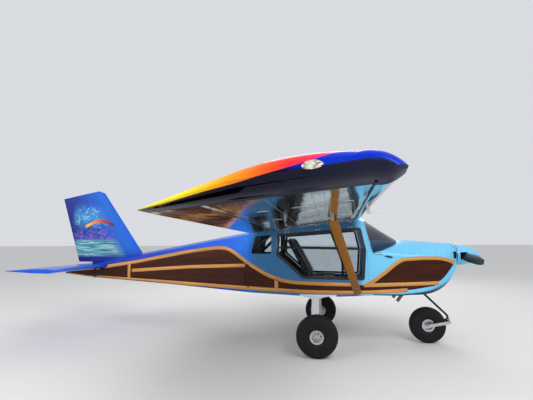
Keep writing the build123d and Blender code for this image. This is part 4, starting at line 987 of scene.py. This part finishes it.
def inflate(piece):
    """Blow a closed pad up as cloth: an even voxel mesh under pressure, each point held to a short move."""
    even = piece.modifiers.new("even", "REMESH")
    even.mode = "VOXEL"
    even.voxel_size = CLOTH_VOXEL
    mesh = baked(piece)
    piece.modifiers.clear()
    piece.data = mesh
    cover = piece.modifiers.new("cover", "CLOTH")
    cover.settings.quality = 4
    cover.settings.use_pressure = True
    cover.settings.uniform_pressure_force = CLOTH_PRESSURE
    cover.settings.effector_weights.gravity = 0.0
    cover.point_cache.frame_start = 1
    cover.point_cache.frame_end = CLOTH_FRAMES
    for number in range(1, CLOTH_FRAMES + 1):
        bpy.context.scene.frame_set(number)
    end = points_of(baked(piece))
    piece.modifiers.clear()
    bpy.context.scene.frame_set(1)
    start = points_of(mesh)
    move = end - start
    length = np.linalg.norm(move, axis=1)[:, None]
    move *= np.minimum(1.0, CLOTH_REACH / np.maximum(length, 1e-9))
    mesh.vertices.foreach_set("co", (start + move).ravel())
    mesh.polygons.foreach_set("use_smooth", [True] * len(mesh.polygons))
    mesh.materials.clear()
    mesh.materials.append(finish_for("cloth"))
    finer = piece.modifiers.new("finer", "SUBSURF")
    finer.levels = finer.render_levels = 1


def pad_piping(name, tree, centre, frame_axes, half_l, half_w, channels):
    """Round seams: one along each channel, found on the pad's skin, and one along a fifth-power oval edge."""
    along, side, out = frame_axes
    seams = []
    across = np.linspace(-0.86, 0.86, 40) * half_w
    for place in channels:
        starts = [centre + place * along + k * side + 0.2 * out for k in across]
        spots, ways = touch(tree, starts, -out)
        seams.append(tube_grid(curve(spots - 0.001 * ways, 40), 0.003, 10))
    turn = np.linspace(0, 2 * np.pi, 120)[:, None]
    corner = (np.abs(np.cos(turn)) ** 5 + np.abs(np.sin(turn)) ** 5) ** -0.2
    edge = np.cos(turn) * (half_l - 0.004) * along + np.sin(turn) * (half_w - 0.006) * side
    seams.append(tube_grid(centre + corner * edge, 0.0045, 12))
    mesh_piece("piping_" + name, seams, "seam")


def sewn_pad(name, centre, along, out, half_l, half_w, half_t, channels):
    """Stuffed pad: two faces crowned by roots of 1 less fifth powers, sides pulled in, channels across."""
    centre, along, out = (np.array(row, float) for row in (centre, along, out))
    along /= np.linalg.norm(along)
    out /= np.linalg.norm(out)
    side = np.cross(out, along)
    p = np.sin(np.pi / 2 * np.linspace(-1, 1, 84))[:, None]
    q = np.sin(np.pi / 2 * np.linspace(-1, 1, 60))[None, :]
    x = half_l * p * (1 - 0.03 * (1 - q ** 2))
    y = half_w * q * (1 - 0.04 * (1 - p ** 2))
    dome = np.clip(1 - np.abs(p) ** 5, 0, 1) ** 0.5 * np.clip(1 - np.abs(q) ** 5, 0, 1) ** 0.5
    crown = dome * (0.88 + 0.12 * (1 - p ** 2) * (1 - q ** 2))
    for place in channels:
        crown = crown * (1 - 0.30 * np.exp(-((x - place) / 0.007) ** 2))
    wrinkle = 1 + 0.02 * np.sin(23 * x / half_l + 5 * y / half_w) * np.sin(9 * y / half_w)
    faces = []
    for way in (1, -1):
        height = way * SHRUNK * half_t * crown * (wrinkle if way > 0 else 1)
        faces.append(centre + x[..., None] * along + y[..., None] * side + height[..., None] * out)
    piece = mesh_piece(name, [np.stack(faces)], "cloth", wrap_u=False)
    inflate(piece)
    points = [v.co.copy() for v in piece.data.vertices]
    tree = BVHTree.FromPolygons(points, [list(face.vertices) for face in piece.data.polygons])
    pad_piping(name, tree, centre, (along, side, out), half_l, half_w, channels)
    return piece


SEAT_RISE = np.array([-0.328, 0.0, 0.615])
SEAT_LEAN = np.array([0.615, 0.0, 0.328])
SHELL_LINE = [(1.33, 0.952), (0.93, 0.935), (0.91, 0.97), (0.60, 1.575)]
SHELL_HALF_W = 0.215
BELT_ENDS = np.array([[0.655, 1.575], [0.98, 1.035]])
BELT_HALF_W = 0.022


def belt_grid(middle_y):
    """Strap along the backrest: a straight line that bows out by a sine, times the belt's width."""
    share = np.linspace(0, 1, 40)[:, None]
    across = np.linspace(-BELT_HALF_W, BELT_HALF_W, 4)[None, :]
    middle = BELT_ENDS[0] * (1 - share) + BELT_ENDS[1] * share
    lift = (0.014 + 0.006 * np.sin(np.pi * share)) / np.linalg.norm(SEAT_LEAN)
    return np.stack([middle[:, :1] + SEAT_LEAN[0] * lift + 0 * across, middle_y + across + 0 * share,
                     middle[:, 1:] + SEAT_LEAN[2] * lift + 0 * across], axis=-1)[None]


def seats():
    """Two seats: a cushion and a back each on a shell, with posts and rails below and belts over them."""
    straps = []
    for name, sign in SIDES:
        mid = sign * SEAT_Y
        base = sewn_pad("cushion_" + name, (1.145, mid, 0.972), (1.0, 0.0, 0.04), (-0.04, 0.0, 1.0), 0.195,
                        0.228, 0.036, (-0.1, 0.0, 0.1))
        back = sewn_pad("backrest_" + name, (0.80, mid, 1.288), SEAT_RISE, SEAT_LEAN, 0.335, 0.228, 0.034,
                        (-0.22, -0.11, 0.0, 0.11, 0.22))
        y = np.linspace(-SHELL_HALF_W, SHELL_HALF_W, 20)[None, :]
        path = smooth_line(SHELL_LINE, 60)
        x = path[:, :1] + 0 * y
        z = path[:, 1:] + 0.012 * np.abs(y / SHELL_HALF_W) ** 4
        shell = mesh_piece("seat_shell_" + name, [np.stack([x, mid + y + 0 * x, z], axis=-1)[None]], "black",
                           wrap_u=False)
        thicken(shell, 0.006, 0.0)
        posts = [tube_grid(curve([(x0, mid + dy, SEAT_FLOOR_Z), (x0 + 0.02, mid + dy, 0.94)], 8), 0.012, 12)
                 for x0 in (1.0, 1.25) for dy in (-0.14, 0.14)]
        rails = [tube_grid(curve([(x0, mid + dy, SEAT_FLOOR_Z) for x0 in (0.94, 1.34)], 8), 0.014, 12)
                 for dy in (-0.14, 0.14)]
        mesh_piece("seat_posts_" + name, posts + rails, "steel")
        for piece in (base, back, shell):
            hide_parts("seat_" + name)
        straps += [belt_grid(mid + dy) for dy in (-0.09, 0.09)]
    thicken(mesh_piece("shoulder_belts", straps, "webbing", wrap_u=False), 0.002, 0.0)


# (Y, radius) of the panel's dials
DIALS = [(-0.38, 0.040), (-0.27, 0.040), (0.27, 0.040), (0.38, 0.040), (-0.06, 0.055), (0.09, 0.055)]
DIAL_Z = 1.390


def cabin_details():
    """Turned bezels, dial marks and needles, and tubes by the quarter windows and behind the seats."""
    face_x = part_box("instrument_panel")[0].x
    rings, marks, needles = [], [], []
    for y, r in DIALS:
        centre = np.array([face_x, y, DIAL_Z])
        profile = [(r, -0.001), (r, 0.004), (r - 0.002, 0.006), (r - 0.006, 0.0055), (r - 0.008, 0.001)]
        rings.append(set_on(lathe(profile, 40), [centre], [(-1.0, 0.0, 0.0)]))
        turn = np.radians(np.arange(12) * 30)
        spots = centre + (r - 0.013) * np.stack([0 * turn, np.cos(turn), np.sin(turn)], axis=1)
        marks.append(set_on(dome_rings(0.0016, 0.0006, 6), spots, np.tile([-1.0, 0.0, 0.0], (12, 1))))
        tip = centre + (r - 0.016) * np.array([0.0, 0.5, 0.866])
        needles.append(tube_grid(np.linspace(centre - [0.002, 0, 0], tip - [0.002, 0, 0], 6), 0.0011, 8))
    mesh_piece("dial_bezels", rings, "black")
    mesh_piece("dial_marks", marks, "leg")
    mesh_piece("dial_needles", needles, "leg")
    tubes = []
    for sign in (-1, 1):
        tubes.append(tube_grid(curve([(0.06, sign * 0.47, 1.36), (0.36, sign * 0.47, 1.64)], 20), 0.026, 24))
        upright = [(0.50, sign * 0.50, 1.60), (0.42, sign * 0.50, 1.10), (0.40, sign * 0.50, 0.80)]
        tubes.append(tube_grid(curve(upright, 30), 0.014, 18))
    mesh_piece("cabin_tubes", tubes, "black")


# Inspection covers stand at shares of the chord and at these distances along the span
COVER_SHARES = (0.18, 0.42, 0.60)
COVER_Y = (1.35, 2.61, 3.45)
COVER = [(0.052, -0.001), (0.052, 0.0012), (0.049, 0.002), (0.0, 0.0022)]
COVER_SCREW_R = 0.044
FUEL_CAP_X, FUEL_CAP_Y = 1.25, 1.0
FUEL_CAP = [(0.045, -0.001), (0.045, 0.004), (0.040, 0.008), (0.018, 0.009), (0.014, 0.014), (0.0, 0.014)]


def wing_details():
    """Turned inspection covers, fuel caps and bolts at the struts' feet, each set where a ray lands."""
    for side, sign in SIDES:
        tree = tree_of(["wing_" + side])
        starts = [(WING_LE_X - share * CHORD, sign * y, UNDER_Z) for share in COVER_SHARES for y in COVER_Y]
        spots, ways = touch(tree, starts, (0, 0, 1))
        mesh_piece("inspection_covers_" + side, [set_on(lathe(COVER, 40), spots, ways)], "alloy")
        turn = np.radians(np.arange(0, 360, 60))
        circle = COVER_SCREW_R * np.stack([np.cos(turn), np.sin(turn), 0 * turn], axis=1)
        screws = (spots[:, None] + circle[None] + ways[:, None] * COVER[-1][1]).reshape(-1, 3)
        heads = set_on(dome_rings(0.003, 0.0012), screws, np.repeat(ways, 6, axis=0))
        mesh_piece("cover_screws_" + side, [heads], "seam")
        spots, ways = touch(tree, [(FUEL_CAP_X, sign * FUEL_CAP_Y, OVER_Z)], (0, 0, -1))
        mesh_piece("fuel_cap_" + side, [set_on(lathe(FUEL_CAP, 40), spots, ways)], "alloy")
        starts = [(x, sign * 3.0, z) for x in np.arange(1.2, 1.75, 0.02) for z in (0.84, 0.88)]
        spots, ways = touch(tree_of(["lift_strut_" + side]), starts, (0, -sign, 0))
        bolts = set_on(hex_head(0.016, 0.008), spots[::3], ways[::3])
        mesh_piece("strut_bolts_" + side, [bolts], "steel", smooth=False)


# Sizes and colours a user would change


class AircraftSettings(bpy.types.PropertyGroup):
    """Sizes and colours of the finish"""

    strip_width: bpy.props.FloatProperty(
        name="Strip width", description="Width of the maple rails", default=0.052, min=0.01, unit="LENGTH")
    rivet_radius: bpy.props.FloatProperty(
        name="Rivet radius", description="Radius of the rivet heads", default=0.004, min=0.001, unit="LENGTH")
    tyre_grooves: bpy.props.IntProperty(
        name="Tyre grooves", description="Number of grooves round each tread", default=4, min=2, max=8)
    floor_color: bpy.props.FloatVectorProperty(
        name="Floor", description="Colour of the stage's floor", default=(0.72, 0.71, 0.69), subtype="COLOR")


# Operators


class AIRCRAFT_OT_dress_nodes(bpy.types.Operator):
    """Give every carried-over solid its finish"""

    bl_idname = "aircraft.dress_nodes"
    bl_label = "Dress solids"

    def execute(self, context):
        for key, names in NODE_FINISHES.items():
            for name in names:
                slots = NODES[name].data.materials
                slots.clear()
                slots.append(finish_for(key))
        return {"FINISHED"}


class AIRCRAFT_OT_wood_trim(bpy.types.Operator):
    """Lay the wood panels and rails on the body's sides"""

    bl_idname = "aircraft.wood_trim"
    bl_label = "Wood trim"

    def execute(self, context):
        wood_trim(context.scene.aircraft.strip_width)
        return {"FINISHED"}


class AIRCRAFT_OT_tyres(bpy.types.Operator):
    """Mould the three tyres"""

    bl_idname = "aircraft.tyres"
    bl_label = "Tyres"

    def execute(self, context):
        for wheel, node, _ in WHEELS:
            tyre(node, wheel, context.scene.aircraft.tyre_grooves)
        return {"FINISHED"}


class AIRCRAFT_OT_wheels(bpy.types.Operator):
    """Bolt the wheels and hose the brakes"""

    bl_idname = "aircraft.wheels"
    bl_label = "Wheel details"

    def execute(self, context):
        for row in WHEELS:
            wheel_details(*row)
        gear_details()
        return {"FINISHED"}


class AIRCRAFT_OT_rivets(bpy.types.Operator):
    """Set the rivets and fasteners"""

    bl_idname = "aircraft.rivets"
    bl_label = "Rivets"

    def execute(self, context):
        wing_rivets(context.scene.aircraft.rivet_radius)
        body_rivets(context.scene.aircraft.rivet_radius)
        return {"FINISHED"}


class AIRCRAFT_OT_cowl(bpy.types.Operator):
    """Seams, scoops, spinner ring and oil door"""

    bl_idname = "aircraft.cowl"
    bl_label = "Cowl details"

    def execute(self, context):
        cowl_details()
        return {"FINISHED"}


class AIRCRAFT_OT_cabin(bpy.types.Operator):
    """Seats, belts, dials and tubes"""

    bl_idname = "aircraft.cabin"
    bl_label = "Cabin"

    def execute(self, context):
        seats()
        cabin_details()
        return {"FINISHED"}


class AIRCRAFT_OT_wing(bpy.types.Operator):
    """Covers, fuel caps and strut bolts"""

    bl_idname = "aircraft.wing"
    bl_label = "Wing details"

    def execute(self, context):
        wing_details()
        return {"FINISHED"}


class AIRCRAFT_OT_stage(bpy.types.Operator):
    """Floor, lights and camera"""

    bl_idname = "aircraft.stage"
    bl_label = "Stage"

    def execute(self, context):
        stage(context.scene)
        return {"FINISHED"}


STEPS = ["dress_nodes", "wood_trim", "tyres", "wheels", "rivets", "cowl", "cabin", "wing", "stage"]


class VIEW3D_PT_aircraft(bpy.types.Panel):
    """Aircraft finish: its sizes and its steps in order"""

    bl_label = "Aircraft finish"
    bl_space_type = "VIEW_3D"
    bl_region_type = "UI"
    bl_category = "Aircraft"

    def draw(self, context):
        settings = context.scene.aircraft
        for name in ("strip_width", "rivet_radius", "tyre_grooves", "floor_color"):
            self.layout.prop(settings, name)
        for step in STEPS:
            self.layout.operator("aircraft." + step)


def look_matrix(place, yaw, pitch, roll):
    """Camera's place and turn: yaw from +Y towards the tail, pitch above level, roll about its axis."""
    forward = np.array([-math.sin(yaw) * math.cos(pitch), math.cos(yaw) * math.cos(pitch), math.sin(pitch)])
    right = np.array([math.cos(yaw), math.sin(yaw), 0.0])
    up = np.cross(right, forward)
    across = right * math.cos(roll) + up * math.sin(roll)
    rise = -right * math.sin(roll) + up * math.cos(roll)
    turn = np.stack([across, rise, -forward], axis=1)
    matrix = np.eye(4)
    matrix[:3, :3] = turn
    matrix[:3, 3] = place
    return Matrix(matrix.tolist())


CAMERA_PLACE = (1.262, -6.42, 1.53)
CAMERA_YAW, CAMERA_PITCH, CAMERA_ROLL = math.radians(9.2), math.radians(6.1), math.radians(-0.25)
CAMERA_LENS = 26.34
CAMERA_REACH = 400
FLOOR_REACH = 150.0
LAMP_AIM = np.array([0.3, 0.0, 1.1])
# Name, place, size and power
LAMPS = [("key", (5.0, -9.0, 8.0), 5.0, 700.0), ("fill", (-7.0, -8.0, 4.0), 6.0, 260.0),
         ("back", (1.0, 9.0, 7.0), 6.0, 300.0)]
WORLD_COLOR = (0.93, 0.95, 1.0, 1.0)
WORLD_STRENGTH = 0.75


def stage(scene):
    """Pale floor, pale world and soft lamps, and the camera."""
    camera = bpy.data.objects.new("camera", bpy.data.cameras.new("camera"))
    camera.data.lens = CAMERA_LENS
    camera.data.sensor_width = 36.0
    camera.data.clip_end = CAMERA_REACH
    camera.matrix_world = look_matrix(CAMERA_PLACE, CAMERA_YAW, CAMERA_PITCH, CAMERA_ROLL)
    scene.collection.objects.link(camera)
    scene.camera = camera
    floor_mesh = bpy.data.meshes.new("floor")
    r = FLOOR_REACH
    floor_mesh.from_pydata([(-r, -r, 0), (r, -r, 0), (r, r, 0), (-r, r, 0)], [], [(0, 1, 2, 3)])
    floor = bpy.data.objects.new("floor", floor_mesh)
    scene.collection.objects.link(floor)
    ground = Finish("floor_finish", color=(*scene.aircraft.floor_color, 1.0), rough=0.9)
    floor_mesh.materials.append(ground.material)
    for name, place, size, power in LAMPS:
        lamp = bpy.data.objects.new(name, bpy.data.lights.new(name, "AREA"))
        lamp.data.size = size
        lamp.data.energy = power
        aim = LAMP_AIM - np.array(place)
        aim /= np.linalg.norm(aim)
        yaw = math.atan2(-aim[0], aim[1])
        lamp.matrix_world = look_matrix(place, yaw, math.asin(aim[2]), 0.0)
        scene.collection.objects.link(lamp)
    world = bpy.data.worlds.new("world")
    scene.world = world
    world.use_nodes = True
    back = world.node_tree.nodes["Background"]
    back.inputs["Color"].default_value = WORLD_COLOR
    back.inputs["Strength"].default_value = WORLD_STRENGTH
    scene.view_settings.view_transform = "Standard"


CLASSES = [AircraftSettings, AIRCRAFT_OT_dress_nodes, AIRCRAFT_OT_wood_trim, AIRCRAFT_OT_tyres,
           AIRCRAFT_OT_wheels, AIRCRAFT_OT_rivets, AIRCRAFT_OT_cowl, AIRCRAFT_OT_cabin, AIRCRAFT_OT_wing,
           AIRCRAFT_OT_stage, VIEW3D_PT_aircraft]


def register():
    for item in CLASSES:
        bpy.utils.register_class(item)
    bpy.types.Scene.aircraft = bpy.props.PointerProperty(type=AircraftSettings)


def unregister():
    del bpy.types.Scene.aircraft
    for item in reversed(CLASSES):
        bpy.utils.unregister_class(item)


def main():
    register()
    for step in STEPS:
        getattr(bpy.ops.aircraft, step)()


if __name__ == "__main__":
    main()
